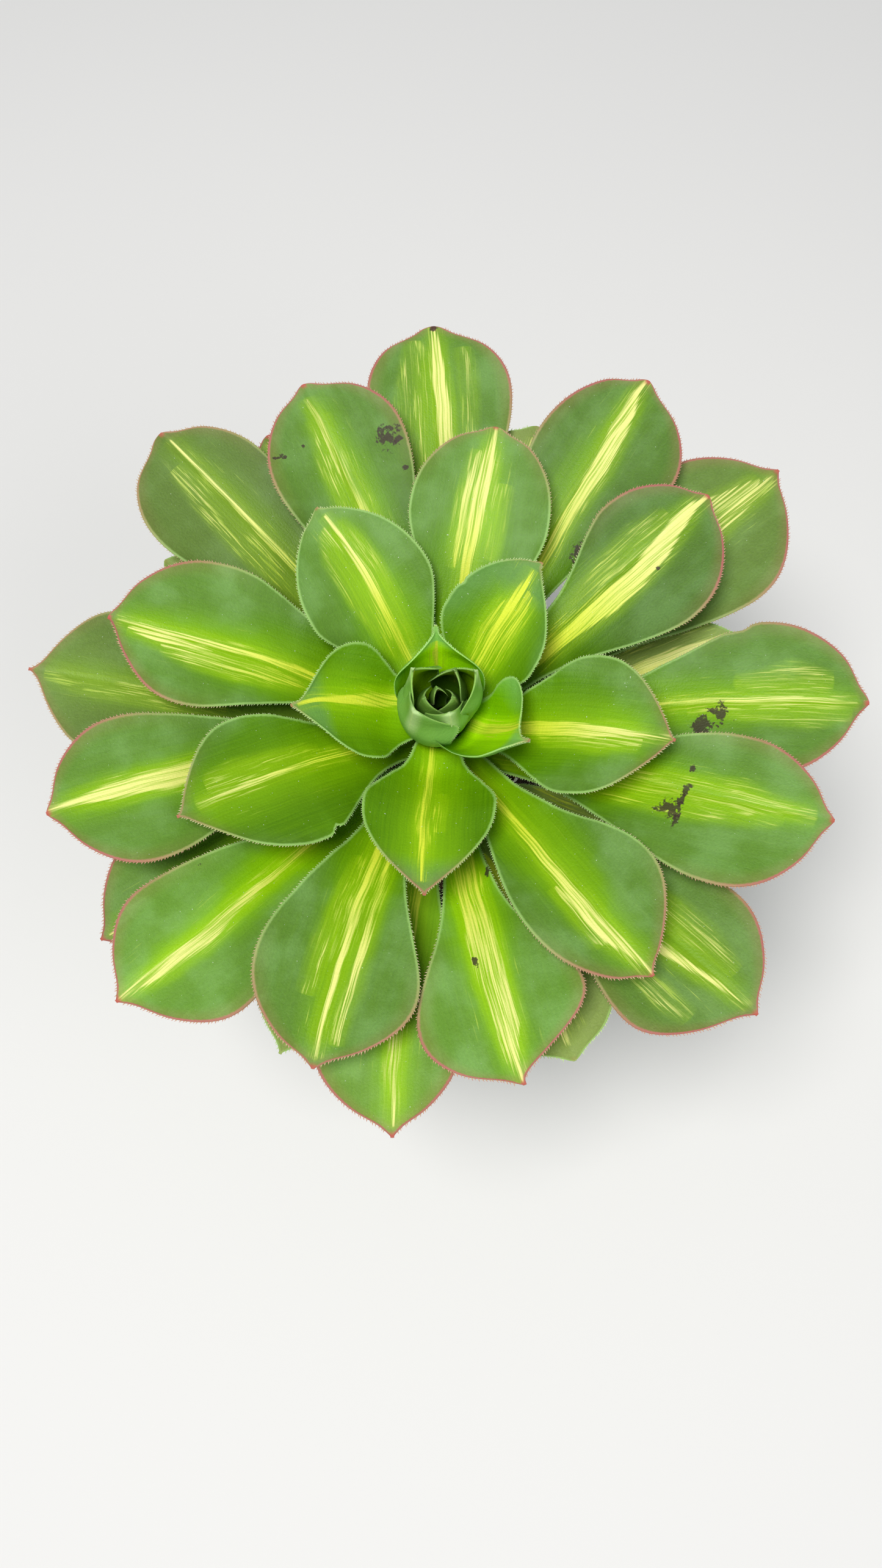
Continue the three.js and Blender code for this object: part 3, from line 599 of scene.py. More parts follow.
class Paint:
    """Builds one material's node tree, up from a base colour."""

    def __init__(self, name, colour):
        self.material = bpy.data.materials.new(name)
        self.material.use_nodes = True
        self.tree = self.material.node_tree
        self.tree.nodes.clear()
        self.colour = colour

    def node(self, kind, inputs=(), **settings):
        node = self.tree.nodes.new("ShaderNode" + kind)
        for key, value in settings.items():
            setattr(node, key, value)
        for key, value in dict(inputs).items():
            if isinstance(value, Value):
                self.tree.links.new(value.socket, node.inputs[key])
            else:
                node.inputs[key].default_value = value
        return node

    def value(self, output, kind, inputs=(), **settings):
        """One output of a new node, by its name or number."""
        return Value(self, self.node(kind, inputs, **settings).outputs[output])

    def field(self, name):
        return self.value("Fac", "Attribute", attribute_name=name)

    def math(self, operation, *values):
        return self.value(0, "Math", enumerate(values), operation=operation)

    def most(self, greatest, *others):
        for other in others:
            greatest = self.math("MAXIMUM", greatest, other)
        return greatest

    def track(self, share, stops):
        """Two values, each 0 to 1, that follow share through stops of (share, first, second)."""
        node = self.node("ValToRGB", {"Fac": share})
        elements = node.color_ramp.elements
        elements.remove(elements[1])
        for index, (at, first, second) in enumerate(stops):
            stop = elements.new(at) if index else elements[0]
            stop.position = at
            stop.color = (first, second, 0, 1)
        parts = self.node("SeparateColor", {"Color": Value(self, node.outputs["Color"])})
        return Value(self, parts.outputs["Red"]), Value(self, parts.outputs["Green"])

    def place(self, scale_up=1.0):
        """The piece's own coordinates in millimetres, stretched along its height."""
        scale = (1 / MM, 1 / MM, scale_up / MM)
        inputs = {0: self.value("Object", "TexCoord"), 1: scale}
        return self.value(0, "VectorMath", inputs, operation="MULTIPLY")

    def noise(self, vector, scale=1.0, detail=2.0, roughness=0.5):
        if isinstance(vector, tuple):
            vector = self.value(0, "CombineXYZ", enumerate(vector))
        inputs = {"Vector": vector, "Scale": scale, "Detail": detail, "Roughness": roughness}
        return self.value("Fac", "TexNoise", inputs)

    def mix(self, share, a, b):
        inputs = {0: share, 6: linear(a), 7: linear(b)}
        return self.value(2, "Mix", inputs, data_type="RGBA", clamp_factor=True)

    def cover(self, share, colour):
        self.colour = self.mix(share, self.colour, colour)

    def shade(self, roughness, bump=(), **others):
        """Ends the tree in a Principled shader. bump is a height, a strength and a distance, and
        underscores in the other inputs' names stand for spaces."""
        inputs = {name.replace("_", " "): value for name, value in others.items()}
        inputs |= {"Base Color": linear(self.colour), "Roughness": roughness}
        if bump:
            heights = dict(zip(("Height", "Strength", "Distance"), bump))
            inputs["Normal"] = self.value("Normal", "Bump", heights)
        self.node("OutputMaterial", {0: self.value(0, "BsdfPrincipled", inputs)})
        return self.material


# ---- The leaves' skin ----

VIVID_MIDDLE = (112, 164, 0)
VIVID_SIDE = (68, 120, 0)
YOUNG_BLOOM = (92, 138, 66)
BLOOM = (86, 126, 44)
PALE_BLOOM = (104, 143, 74)
DULL_GREEN = (142, 156, 82)
STRIPE_INNER = (216, 226, 60)
STRIPE_OUTER = (230, 228, 136)
GLOW = (140, 184, 4)
# PALE_RIM is partly the margin's own pale colour and partly painted light on its lit, translucent edge.
PALE_RIM = (168, 208, 120)
PINK_RIM = (180, 92, 98)
TIP_RED = (176, 88, 76)
STAIN = (56, 42, 34)
UNDERSIDE = (104, 144, 60)
YOUNG_UNDERSIDE = (116, 166, 76)
PALE_KEEL = (190, 216, 150)
DUST = (220, 226, 214)
# painted shade: the dark green of deep shade, laid over a leaf towards its foot
PAINTED_SHADE_GREEN = (22, 58, 4)

# Noise over a blade: its pace across and along per millimetre, its own seed, and its fineness.
Weave = namedtuple("Weave", "across along seed detail roughness", defaults=(0.5,))
WEAVES = [
    Weave(1.9, 0.036, 0.3, 3, 0.6),  # threads
    Weave(2.3, 0.09, 5.3, 2),  # dashes
    Weave(0.34, 0.045, 8.3, 1),  # patches
    Weave(0.07, 0.07, 9.1, 3),  # cloud
    Weave(1.6, 1.2, 2.7, 3, 0.65),  # grain
    Weave(0.42, 0.42, 6.6, 2),  # blot
]

TRACK_REACH = 60  # millimetres across the blade that a track holds as 0 to 1
TRACK_WIDTH = 20  # the same for a stripe's width
STRIPE_LEAD = 0.06  # shares of the blade over which a stripe opens before its stops and closes
STRIPE_TAIL = 0.02
NO_STRIPE = -3.0  # a ridge's height where no stripe is near


def stripe_ridge(p, x, t, stripes):
    """A ridge along each stripe: its fill at most, and 0.9 lower for each millimetre outside."""
    ridge = NO_STRIPE
    for stripe in stripes:
        (first_at, first_x, _), (last_at, last_x, _) = stripe.stops[0], stripe.stops[-1]
        opening = (max(0, first_at - STRIPE_LEAD), first_x, 0)
        closing = (min(1, last_at + STRIPE_TAIL), last_x, 0)
        stops = (opening, *stripe.stops, closing)
        track = [(at, place / TRACK_REACH + 0.5, size / TRACK_WIDTH) for at, place, size in stops]
        middle, width = p.track(t, track)
        away = p.math("ABSOLUTE", x - (middle - 0.5) * TRACK_REACH)
        inside = width * (TRACK_WIDTH / 2) - away
        height = p.math("MINIMUM", inside * 0.9, stripe.fill) + width.fade(0.03, 0.0) * NO_STRIPE
        ridge = p.most(ridge, height)
    return ridge


def leaf_skin(name, seed, length, look, young, tone, depth=0.0):
    """Green striped skin: places come from the blade's own fields, so nothing is an image. depth
    is how much painted shade darkens the leaf towards its foot."""
    p = Paint(name, VIVID_MIDDLE)
    x, t, edge, under = (p.field(field) for field in ("streak", "along", "edge", "under"))
    y = t * length
    side = p.math("ABSOLUTE", x)
    x = x + (p.noise((y * 0.05, seed, 0.0), detail=1) - 0.5) * 1.6
    threads, dashes, patches, cloud, grain, blot = (
        p.noise((x * w.across, y * w.along, seed + w.seed), detail=w.detail, roughness=w.roughness)
        for w in WEAVES
    )

    # Bloom covers the tip and closes in from the margins; the middle stays vivid.
    past = side - (1.05 - t) * (look.vivid / 0.45) + (cloud - 0.5) * 10
    beyond = t + (cloud - 0.5) * 0.1
    bloom = p.most(past.fade(-5, 6), beyond.fade(look.bloom_from - 0.07, look.bloom_from + 0.06))
    powder = YOUNG_BLOOM
    if not young:
        powder = p.mix((cloud + (patches - 0.5) * 0.25).fade(0.36, 0.7), BLOOM, PALE_BLOOM)
    p.cover(side.fade(1, 15), VIVID_SIDE)
    p.cover(bloom * 0.92, powder)
    ridge = stripe_ridge(p, x, t, look.stripes)
    p.cover(ridge.fade(-4.5, 0.2) * (threads * 0.9 + 0.25) * (1.0 - bloom * 0.5), GLOW)
    p.cover(look.dull, DULL_GREEN)
    lines = (threads - 0.5) * (0.3 - bloom * 0.25)
    mottle = (grain - 0.5) * (bloom * 0.26 + 0.14)
    shade = cloud * 0.24 + tone + lines + mottle
    p.colour = p.value(0, "HueSaturation", {"Color": p.colour, "Value": shade})

    # Cream shows in the stripes, in dashes beside them and in strays near the midrib.
    core = (ridge + (threads - 0.5) * 2.6).fade(-0.2, 0.7)
    fringe = ridge.fade(-2.6, -0.3) * patches.fade(0.42, 0.58) * dashes.fade(0.52, 0.62)
    near = side.fade(12, 6) * (t.fade(0.3, 0.55) * t.fade(0.97, 0.88))
    stray = dashes.fade(0.6, 0.7) * patches.fade(0.5, 0.62) * near
    stripe = p.most(core, fringe * 0.7, stray * look.dashes)
    pale = p.mix(t.fade(0.4, 0.85), STRIPE_INNER, STRIPE_INNER if young else STRIPE_OUTER)
    pale = p.mix((threads + ridge * 0.06).fade(0.58, 0.42) * 0.7, pale, GLOW)
    p.cover(stripe * (t.fade(0.05, 0.5) * 0.28 + 0.68), pale)

    # The rim is pale and often pink, and the point red. The pale rim is partly the margin's own colour and
    # partly painted light on the lit, translucent margin.
    reddening = t.fade(1.2 - 0.62 * look.pink, 1.28 - 0.36 * look.pink) * look.pink
    rim_and_painted_light = edge + (grain - 0.5) * 0.7 - reddening * 0.1
    rim = p.mix(reddening, PALE_RIM, PINK_RIM)
    p.cover(rim_and_painted_light.fade(0.75, 0.05) * (reddening * 0.3 + 0.5), rim)
    p.cover(edge.fade(6, 0) * (reddening * 0.16), PINK_RIM)
    p.cover(t.fade(0.985, 0.998) * side.fade(1.2, 0.5) * look.pink, TIP_RED)

    for spot in look.spots:
        dx = (x - spot.x) / spot.size
        dy = (y - spot.along * length) / (spot.size * spot.stretch)
        away = p.math("SQRT", dx * dx + dy * dy)
        ragged = (blot - 0.5) * 3.5 + (grain - 0.5) * 1.6
        p.cover((away + ragged).fade(1.0, 0.6) * 0.9, STAIN)
    specks = p.noise((x, y, seed + 4.4), scale=1.9, detail=0)
    p.cover(specks.fade(0.86, 0.89) * 0.6, DUST)
    back = UNDERSIDE
    if young:
        back = p.mix(side.fade(3.6, 0.2) * t.fade(0.5, 0.8), YOUNG_UNDERSIDE, PALE_KEEL)
    p.cover(under * 0.8, back)
    # Painted shade: darker towards the foot, by depth.
    p.cover(t.fade(1.0, 0.6) * depth, PAINTED_SHADE_GREEN)

    groove = p.math("EXPONENT", side * side * -0.7)
    relief = grain * 0.6 + lines * 0.6 - groove * 0.9
    return p.shade(
        grain * 0.14 + 0.34 + bloom * 0.1, bump=(relief, 0.5, 0.0005), Specular_IOR_Level=0.22,
        Subsurface_Weight=0.06, Subsurface_Radius=(0.6, 1.0, 0.2), Subsurface_Scale=0.002,
    )


# ---- Leaves ----

# A grown leaf draws in just below its tip, which leaves a small drawn-out point.
CUSP = 0.34
CUSP_ALONG = 0.985
CUSP_LENGTH = 0.02

MARGIN_CURL = 0.5
FOOT_RISE = 5  # how far leaves 3 to 5 stand up just beyond their feet, and those beside them less
FOOT_RISE_ALONG = 0.12
FOOT_RISE_LENGTH = 0.1


def young_form(t, u, half, size, fold=0.3):
    """How a young leaf leaves the plain curve: its shoulders flare and its tip bends back, both
    outwards, and towards the tip it folds into a keel."""
    shoulder = fade(t, 0.35, 0.6) * fade(t, 0.85, 0.66)
    flare = -1.7 * shoulder * np.abs(u) ** 4
    recurve = -2.6 * np.clip((t - 0.72) / 0.28, 0, 1) ** 2
    keel = fold * np.abs(u) * half * fade(t, 0.6, 0.85)
    return size * (flare + recurve) + keel


def leaf_shape(rank, leaf):
    stalk = 0.22 + 0.25 * math.exp(-(rank - 1) / 4)
    base_thickness = min(2.4, 1.4 + 0.08 * rank)
    random = np.random.default_rng(100 + rank)
    phases = random.uniform(0, 2 * math.pi, 6)
    wave_count = random.uniform(3.2, 5.2, 2)
    wave_height = 0.1 + 0.45 * min(1, rank / 14)
    nick = NICKS.get(rank, NO_NICK)
    foot_rise = FOOT_RISE * fade(rank, 9, 5) * fade(rank, 1, 3)

    def half_width(t, u):
        left, right = side_width(leaf.left, stalk, t), side_width(leaf.right, stalk, t)
        torn = (np.sign(u) == nick.side) * nick.depth * hump(t, nick.along, nick.length)
        return np.where(u > 0, left, right) * (1 - CUSP * hump(t, CUSP_ALONG, CUSP_LENGTH)) - torn

    def curl(t, u):
        return np.where(u > 0, side_curl(leaf.left, t), side_curl(leaf.right, t))

    def lift(t, u):
        arch = np.sin(np.pi * t)
        channel = CHANNEL_DEPTH * arch * u * u
        side = (u > 0).astype(int)
        turn = np.pi * wave_count[side] * t
        waves = np.sin(2 * turn + phases[side]) + 0.25 * np.sin(5.1 * turn + phases[2 + side])
        waves = wave_height * waves * np.abs(u) ** 3 * arch
        margin = MARGIN_CURL * np.abs(u) ** 10 * arch**0.5
        form = youth(rank) * young_form(t, u, half_width(t, u), 1)
        form = form + foot_rise * hump(t, FOOT_RISE_ALONG, FOOT_RISE_LENGTH)
        return channel + waves + margin + form

    return Shape(half_width, curl, lift, lambda t: base_thickness - (base_thickness - 1.2) * t**2)


TOOTH_SPACING = 0.95
TOOTH_HEIGHT = 0.7
TOOTH_HALF_WIDTH = 0.28
TOOTH_ROOT = 0.25
TOOTH_LEAN = math.radians(35)
TOOTH_SAMPLES = 500
TOOTH_FACES = [(0, 2, 4), (2, 1, 4), (1, 3, 4), (3, 0, 4), (0, 3, 1, 2)]  # on a left margin

teeth = {"points": [], "faces": [], "tints": []}


def add_teeth(spine, shape, seed, pink, size, first=0.1):
    """Small pyramids along both margins, leaning to the tip; tint says how pink each point is."""
    random = np.random.default_rng(seed)
    t = np.linspace(first, 0.992, TOOTH_SAMPLES)
    for sign in (-1.0, 1.0):
        place, sideways, normal, _ = blade_surface(spine, shape, t, np.full_like(t, sign))
        place = place - normal * EDGE_THICKNESS / 2
        run = run_along(place)
        count = int(run[-1] / (TOOTH_SPACING * size))
        spots = (np.arange(count) + 0.5 + random.uniform(-0.25, 0.25, count)) * TOOTH_SPACING * size
        ahead = unit(np.gradient(place, axis=0))
        outward = unit(sign * sideways - ahead * (sign * sideways * ahead).sum(-1, keepdims=True))
        for spot in spots:
            at = np.array([np.interp(spot, run, place[:, k]) for k in range(3)])
            i = np.searchsorted(run, spot)
            out, forth, up = outward[i], ahead[i], normal[i]
            length = TOOTH_HEIGHT * size * random.uniform(0.65, 1.1)
            lean = TOOTH_LEAN + random.uniform(-0.2, 0.2)
            root = at + out * (EDGE_THICKNESS / 2 - TOOTH_ROOT)
            apex = root + (length + TOOTH_ROOT) * (math.cos(lean) * out + math.sin(lean) * forth)
            half = TOOTH_HALF_WIDTH * size
            base = len(teeth["points"])
            teeth["points"] += [root - half * forth, root + half * forth]
            teeth["points"] += [root + 0.45 * half * up, root - 0.45 * half * up, apex]
            teeth["faces"] += [tuple(base + v for v in face)[:: int(sign)] for face in TOOTH_FACES]
            redness = pink * float(fade(t[i], 0.4, 0.85))
            teeth["tints"] += [0.4 * redness] * 4 + [redness]


def tooth_skin():
    p = Paint("tooth_skin", (186, 216, 148))
    p.cover(p.field("tint"), (190, 92, 102))
    return p.shade(0.5)


for rank, leaf in enumerate(LEAVES, start=1):
    young, old = rank in YOUNG_RANKS, rank in OLD_RANKS
    look = LOOKS.get(rank, OLD_LOOK if old else LOOKS[26])
    spine = leaf_spine(rank, leaf)
    shape = leaf_shape(rank, leaf)
    piece = make_piece(f"blade_{rank:02d}", *blade_mesh(spine, shape, STATIONS))
    tone = LEAF_TONE * TONES_AND_PAINTED_LIGHT.get(rank, 1)
    skin = leaf_skin(f"leaf_skin_{rank:02d}", 3.7 * rank, leaf.reach + 12, look, young, tone)
    dress(piece, skin, "young_leaf" if young else "old_leaf" if old else "leaf", f"leaf_{rank:02d}")
    size = 0.75 + 0.25 * min(1, rank / 14)
    add_teeth(spine, shape, 500 + rank, look.pink * min(1, rank / 10), size)

# ---- Bud ----

BUD_STALK = 0.6  # width at the foot, as a share of the widest
BUD_WIDEST_AT = 0.62
BUD_THICKNESS = 1.3
BUD_FOLD = 0.42
# Painted shade: the heart's leaves are darker, as deep inside the bud.
HEART_FROM = 4  # from here on the bud leaves are darker


def bud_shape(leaf):
    side = Side(leaf.half, BUD_WIDEST_AT, 1, leaf.point, leaf.curl)
    size = 0.75 * (leaf.belly / BUD_LEAVES[0].belly)
    return Shape(
        half_width=lambda t, u: side_width(side, BUD_STALK, t),
        curl=lambda t, u: side_curl(side, t),
        lift=lambda t, u: young_form(t, u, side_width(side, BUD_STALK, t), size, BUD_FOLD),
        thickness=lambda t: BUD_THICKNESS + 0 * t,
    )


bud_blades = []
for index, bud_leaf in enumerate(BUD_LEAVES):
    spine = bud_spine(index, bud_leaf)
    shape = bud_shape(bud_leaf)
    bud_blades.append(blade_mesh(spine, shape, STATIONS[::2]))
    size = 0.3 + 0.3 * bud_leaf.half / BUD_LEAVES[0].half
    add_teeth(spine, shape, 900 + index, pink=0, size=size, first=0.35)
bud = make_piece("crown_bud_leaves", *join_blades(bud_blades[:HEART_FROM]))
# The bud's leaves get a little painted shade towards their feet (depth 0.05).
dress(bud, leaf_skin("bud_skin", 1.9, 28, BUD_LOOK, True, 0.92, 0.05), "young_leaf", "crown_bud")
# Painted shade: the heart's dark tone (0.6) and depth (0.85) stand for the deep shade inside the bud.
heart = make_piece("crown_bud_heart", *join_blades(bud_blades[HEART_FROM:]))
dress(heart, leaf_skin("heart_painted_shade_skin", 2.3, 24, BUD_LOOK, False, 0.6, 0.85), "young_leaf", "crown_bud")

tints = np.array(teeth["tints"])
tooth_uv = np.array([(0.1 + 0.8 * tints[v], 0.5 + 0.01 * (v % 5)) for face in teeth["faces"] for v in face])
toothing = make_piece("margin_teeth", teeth["points"], teeth["faces"], tooth_uv, {"tint": tints},
                      smooth_shaded=False)
dress(toothing, tooth_skin(), "leaf")

# ---- Stem ----

STEM_SIDES = 144
STEM_RINGS = 150
TAPER_LENGTH = 12
FLARE_FROM = 50
FLARE_LENGTH = 16
SCAR_HALF_WIDTH = 6
SCAR_HALF_HEIGHT = 2.2
SCAR_GROOVE = 0.3  # the furrow round each scar
FALLEN_LEAVES = 14
BARK_RIDGES = 0.35


def stem_radius(height):
    """Heights are measured from the rosette's centre."""
    depth = -STEM_TOP_DROP - height
    taper = min(1, max(0, (depth - BASE_ROOM) / TAPER_LENGTH))
    flare = STEM_FLARE * smooth(min(1, max(0, (depth - FLARE_FROM) / FLARE_LENGTH)))
    return STEM_TIP_RADIUS + (STEM_RADIUS - STEM_TIP_RADIUS) * taper + flare


def scar_distance(azimuth, height):
    """How far a place is from the nearest leaf scar's middle: 1 on the scar's border."""
    nearest = 9.0
    for scar in range(len(LEAVES) + 1, len(LEAVES) + FALLEN_LEAVES + 1):
        turn = azimuth - math.radians(FIRST_LEAF_AZIMUTH - GOLDEN_ANGLE * (scar - 1))
        across = math.remainder(turn, math.tau) * STEM_RADIUS
        up = height - base_height(scar)
        nearest = min(nearest, math.hypot(across / SCAR_HALF_WIDTH, up / SCAR_HALF_HEIGHT))
    return nearest


def make_stem():
    top = -STEM_TOP_DROP - SEAT_GAP
    foot = SOIL_LEVEL - STEM_HOLE_DEPTH + SEAT_GAP - CROWN_HEIGHT
    points, scars, rises = [], [], []
    for height in np.linspace(foot, top, STEM_RINGS + 1):
        for x, y, _ in ring(1, 0, STEM_SIDES):
            distance = scar_distance(math.atan2(y, x), height)
            ridges = noise.noise(Vector((3 * x, 3 * y, height / 9)))
            radius = stem_radius(height) + BARK_RIDGES * ridges
            if height > SOIL_LEVEL - CROWN_HEIGHT + 1:
                radius += SCAR_RELIEF * max(0, 1 - distance**2)
                radius -= SCAR_GROOVE * hump(distance, 1.1, 0.18)
            points.append((radius * x, radius * y, height))
            scars.append(distance)
            rises.append(height - foot)
    faces = tube_faces(STEM_RINGS + 1, STEM_SIDES)
    return make_piece("stem_bark", points, faces, fields={"scar": scars, "rise": rises})


def bark_skin():
    p = Paint("bark_skin", (126, 104, 74))
    scar, rise = p.field("scar"), p.field("rise")
    place = p.place(scale_up=0.35)
    fibre = p.noise(place, scale=0.9, detail=6, roughness=0.6)
    patch = p.noise(place, scale=0.16, detail=3)
    p.cover(patch.fade(0.35, 0.65), (96, 82, 62))
    p.cover(rise.fade(42, 84) * patch.fade(0.3, 0.6) * 0.75, (122, 136, 70))
    p.cover(fibre.fade(0.5, 0.32) * 0.6, (62, 48, 34))
    p.cover(scar.fade(1.05, 0.85) * 0.6, (158, 140, 108))
    p.cover(scar.fade(0.9, 1.05) * scar.fade(1.35, 1.1) * 0.7, (58, 44, 32))  # the scars' borders
    p.cover((rise + patch * 6).fade(33, 27) * 0.8, (46, 36, 28))  # soil on the stem's foot
    return p.shade(fibre * 0.2 + 0.7, bump=(fibre, 0.7, 0.0006))


dress(make_stem(), bark_skin(), "stem", "stem")

# ---- Potting mix ----

SOIL_SIDES = 180
SOIL_RINGS = 56


def pot_inner_radius(height):
    share = (height - POT_FLOOR) / (POT_HEIGHT - POT_FLOOR)
    low = POT_FOOT_RADIUS - POT_WALL
    return low + (POT_MOUTH_RADIUS - RIM_BAND_STEP - POT_WALL - low) * share


def soil_relief(x, y):
    lumps = math.sin(x / 5.3 + 1.1) * math.cos(y / 4.1) + math.sin((x + 2 * y) / 7.7 + 0.4)
    crumbs = noise.fractal(Vector((x / 3.2, y / 3.2, 2.0)), 0.9, 2.1, 4)
    return 0.5 * SOIL_RELIEF * lumps + 0.9 * crumbs


def make_soil():
    """From the stem's hole over the top to the pot's floor, so its faces are turned round."""
    bore = stem_radius(SOIL_LEVEL - CROWN_HEIGHT) + SEAT_GAP
    foot = POT_FLOOR + SEAT_GAP
    rim = pot_inner_radius(SOIL_LEVEL) - SEAT_GAP
    courses = [(bore, SOIL_LEVEL - STEM_HOLE_DEPTH, 0)]
    for share in np.linspace(0, 1, SOIL_RINGS + 1):
        # The relief fades out at the pot's wall, and at the stem it stays under the gap.
        courses.append((bore + (rim - bore) * share, SOIL_LEVEL, min(1, 12 * (1 - share), 0.4 + 8 * share)))
    courses.append((pot_inner_radius(foot) - SEAT_GAP, foot, 0))
    points = []
    for radius, height, relief in courses:
        points += [(x, y, z + relief * soil_relief(x, y)) for x, y, z in ring(radius, height, SOIL_SIDES)]
    faces = [face[::-1] for face in tube_faces(len(courses), SOIL_SIDES)]
    return make_piece("mix_bed", points, faces, raised=0)


def soil_skin():
    p = Paint("mix_skin", (24, 18, 14))
    place = p.place()
    crumb = p.noise(place, scale=0.5, detail=8, roughness=0.7)
    fibre = p.noise(place, scale=1.7, detail=3)
    p.cover(crumb.fade(0.3, 0.7), (70, 52, 38))
    p.cover(fibre.fade(0.62, 0.72) * 0.7, (112, 86, 58))
    return p.shade(0.95, bump=(crumb, 1.0, 0.0015))


dress(make_soil(), soil_skin(), "potting_mix", "potting_mix")

# ---- Chips and perlite on the mix: lumps on an icosahedron ----

GOLDEN_RATIO = 1.618
LONGEST_EDGE = 1.1  # for corners one unit from the middle; anything longer isn't an edge
GRAIN_CORNERS = unit(np.array([
    np.roll((x, y, 0), turn) for turn in range(3) for x in (-1, 1) for y in (-GOLDEN_RATIO, GOLDEN_RATIO)
], float))


def grain_faces():
    """The 20 triangles over the grain's 12 corners, each facing out."""
    faces = []
    for a, b, c in combinations(range(len(GRAIN_CORNERS)), 3):
        corners = GRAIN_CORNERS[[a, b, c]]
        edges = np.linalg.norm(corners - np.roll(corners, 1, axis=0), axis=1)
        if edges.max() < LONGEST_EDGE:
            outward = np.dot(np.cross(corners[1] - corners[0], corners[2] - corners[0]), corners[0])
            faces.append((a, b, c) if outward > 0 else (a, c, b))
    return faces


def make_grains(name, count, seed, smallest, largest, flatness):
    """Lumps strewn over the mix, half sunk, clear of the stem and the pot."""
    random = np.random.default_rng(seed)
    pattern = grain_faces()
    points, faces = [], []
    inner = STEM_RADIUS + STEM_FLARE + 2 + largest
    outer = pot_inner_radius(SOIL_LEVEL) - 1 - largest
    for _ in range(count):
        radius = math.sqrt(random.uniform(inner**2, outer**2))
        azimuth = random.uniform(0, 2 * math.pi)
        x, y = radius * math.cos(azimuth), radius * math.sin(azimuth)
        size = random.uniform(smallest, largest)
        stretch = np.array([random.uniform(0.7, 1), random.uniform(0.4, 0.8), flatness])
        corners = GRAIN_CORNERS * stretch * size * random.uniform(0.75, 1.1, (len(GRAIN_CORNERS), 1))
        turn = Matrix.Rotation(random.uniform(0, 6.28), 3, "Z")
        turn = turn @ Matrix.Rotation(random.uniform(-0.4, 0.4), 3, "X")
        corners = corners @ np.array(turn).T
        base = len(points)
        points += (corners + [x, y, SOIL_LEVEL + soil_relief(x, y) + 0.25 * size * flatness]).tolist()
        faces += [tuple(v + base for v in face) for face in pattern]
    return make_piece(name, points, faces, raised=0, smooth_shaded=False)


def grain_skin(name, dark, light, roughness):
    p = Paint(name, dark)
    mottle = p.noise(p.place(), scale=0.6, detail=5, roughness=0.7)
    p.cover(mottle.fade(0.35, 0.65), light)
    return p.shade(roughness, bump=(mottle, 0.6, 0.0006))


bark_chips = make_grains("bark_chips", 90, 41, 2.2, 5, 0.3)
dress(bark_chips, grain_skin("bark_chip_skin", (52, 34, 22), (116, 80, 52), 0.85), "potting_mix")
perlite = make_grains("perlite_grains", 130, 42, 0.9, 1.9, 0.8)
dress(perlite, grain_skin("perlite_skin", (196, 192, 182), (236, 234, 226), 0.9), "potting_mix")

# ---- Pot ----

POT_SIDES = 160
DRAIN_SIDES = 32
CORNER_STEPS = 5
FOOT_RING_WIDTH = 5
FOOT_RING_DEPTH = 1.0  # how far the floor stands above the table


def rounded(profile):
    """A profile of (radius, height, corner radius), each corner between its ends a short arc."""
    places = [np.array(point[:2], float) for point in profile]
    out = [places[0]]
    for before, here, after, point in zip(places, places[1:], places[2:], profile[1:]):
        first, last = (here + unit(there - here) * point[2] for there in (before, after))
        out += [quadratic(first, here, last, t) for t in np.linspace(0, 1, CORNER_STEPS)]
    return [*out, places[-1]]


def make_pot():
    band_foot = POT_HEIGHT - RIM_BAND_HEIGHT
    middle = DRAIN_CIRCLE_RADIUS - 2 * DRAIN_RADIUS
    foot_ring = POT_FOOT_RADIUS - FOOT_RING_WIDTH
    profile = rounded([
        (middle, FOOT_RING_DEPTH, 0),
        (foot_ring, FOOT_RING_DEPTH, 0.5),
        (foot_ring - 0.6, 0, 0.3),
        (POT_FOOT_RADIUS, 0, 1.2),
        (pot_inner_radius(band_foot) + POT_WALL, band_foot, 0.8),
        (POT_MOUTH_RADIUS - 0.2, band_foot, 0.7),
        (POT_MOUTH_RADIUS, POT_HEIGHT, 0.8),
        (pot_inner_radius(POT_HEIGHT), POT_HEIGHT, 0.6),
        (pot_inner_radius(POT_FLOOR), POT_FLOOR, 1.2),
        (middle, POT_FLOOR, 0),
    ])
    points = [point for radius, height in profile for point in ring(radius, height, POT_SIDES)]
    return make_piece("pot_shell", points, tube_faces(len(profile), POT_SIDES), raised=0)


def cut_drains(pot):
    """Round holes through the floor."""
    points, faces = [], []
    for x, y, _ in ring(DRAIN_CIRCLE_RADIUS, 0, DRAIN_COUNT):
        faces += tube_faces(2, DRAIN_SIDES, len(points))
        for height in (-POT_FLOOR, 2 * POT_FLOOR):
            points += ring(DRAIN_RADIUS, height, DRAIN_SIDES, x, y)
    drill = make_piece("drain_drill", points, faces, raised=0)
    cut = pot.modifiers.new("drains", "BOOLEAN")
    cut.object = drill
    cut.operation = "DIFFERENCE"
    cut.solver = "EXACT"
    bpy.context.view_layer.update()
    done = bpy.data.meshes.new_from_object(pot.evaluated_get(bpy.context.evaluated_depsgraph_get()))
    pot.modifiers.clear()
    pot.data = done
    bpy.data.objects.remove(drill)
    return pot


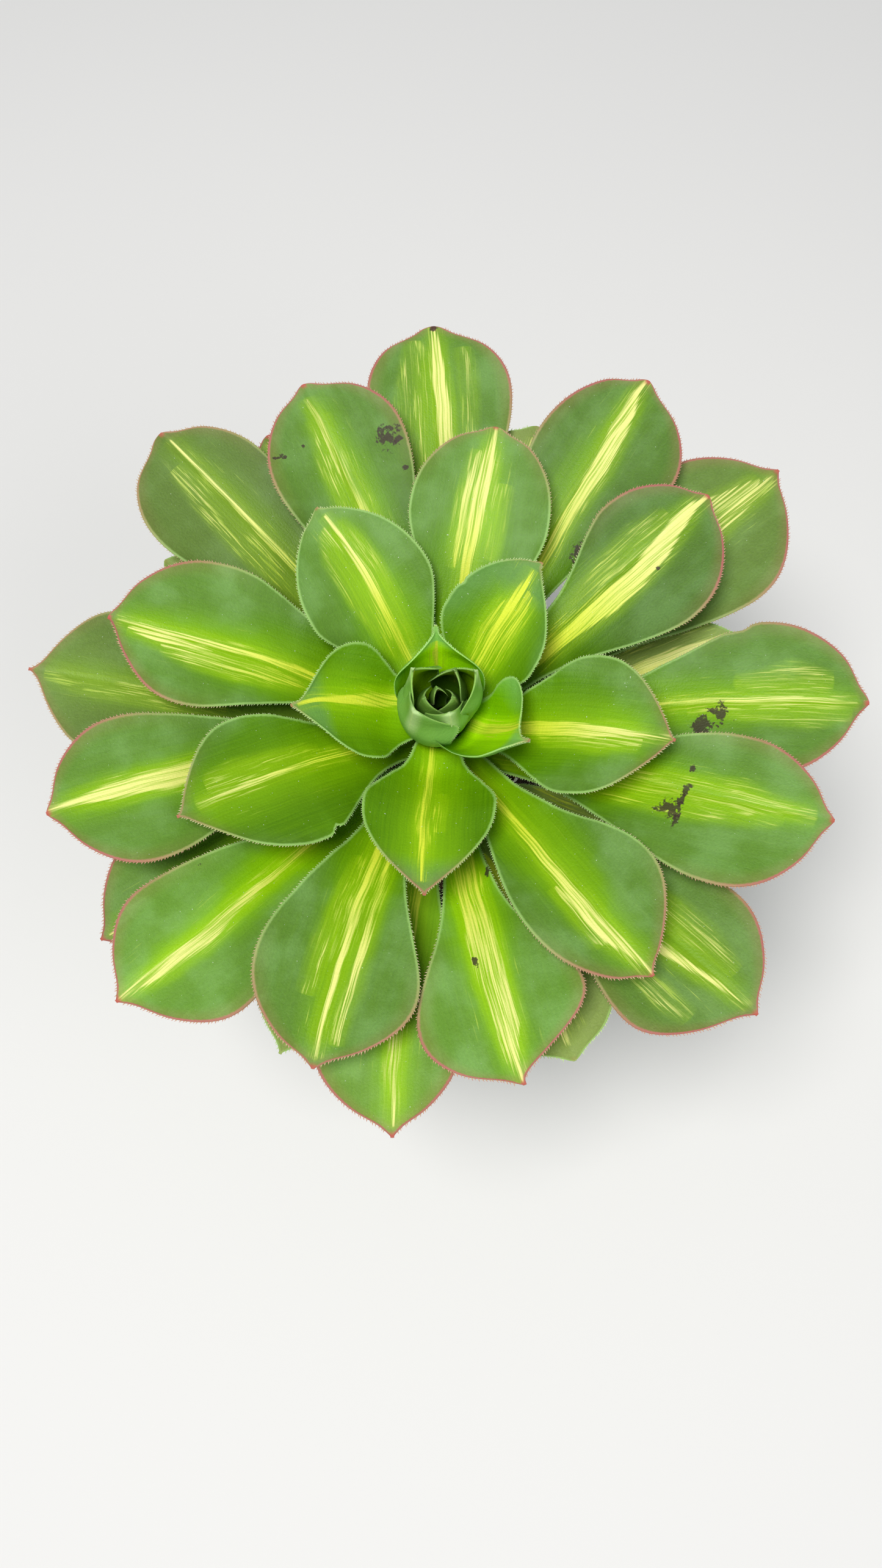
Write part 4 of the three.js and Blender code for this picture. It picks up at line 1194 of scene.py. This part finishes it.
def pot_skin():
    p = Paint("pot_skin", (30, 30, 31))
    place = p.place()
    sheen = p.noise(place, scale=0.05, detail=3)
    pebble = p.noise(place, scale=3.2, detail=2)
    dust = p.noise(place, scale=0.35, detail=6, roughness=0.7).fade(0.56, 0.75) * 0.25
    p.cover(dust, (96, 90, 80))
    return p.shade(sheen * 0.16 + dust * 0.6 + 0.42, bump=(pebble, 0.25, 0.0002))


dress(cut_drains(make_pot()), pot_skin(), "pot", "pot")

# ---- Camera, floor and light ----

FLOOR_REACH = 3
LAMP_AIM = (0, 0, 0.15)
LENS = 27.03
CAMERA_PLACE = (0, -129.01 * MM, 517.09 * MM)
CAMERA_DIRECTION = (0, 0.29256, -0.95625)

floor_mesh = bpy.data.meshes.new("floor")
floor_corners = [(x * FLOOR_REACH, y * FLOOR_REACH, 0) for x, y in ((-1, -1), (1, -1), (1, 1), (-1, 1))]
floor_mesh.from_pydata(floor_corners, [], [(0, 1, 2, 3)])
floor = add_object("floor", floor_mesh)
floor_mesh.materials.append(Paint("floor_paint", (228, 226, 222)).shade(0.85))


def look_at(item, place, direction):
    item.location = place
    item.rotation_euler = Vector(direction).to_track_quat("-Z", "Y").to_euler()


def softbox(name, place, size, power):
    """A round lamp that faces the rosette."""
    light = bpy.data.lights.new(name, "AREA")
    light.shape = "DISK"
    light.size = size
    light.energy = power
    look_at(add_object(name, light), place, Vector(LAMP_AIM) - Vector(place))


softbox("key_light", (-0.3, -0.2, 1.5), 0.6, 18)
softbox("fill_light", (0.8, -0.6, 1.1), 1.0, 5)

world = bpy.data.worlds.new("studio")
world.use_nodes = True
background = world.node_tree.nodes["Background"]
background.inputs["Color"].default_value = linear((240, 246, 255))
background.inputs["Strength"].default_value = 0.34
bpy.context.scene.world = world
bpy.context.scene.view_settings.view_transform = "Standard"

camera_data = bpy.data.cameras.new("camera")
camera_data.lens = LENS
camera_data.sensor_width = 36
camera = add_object("camera", camera_data)
look_at(camera, CAMERA_PLACE, CAMERA_DIRECTION)
bpy.context.scene.camera = camera
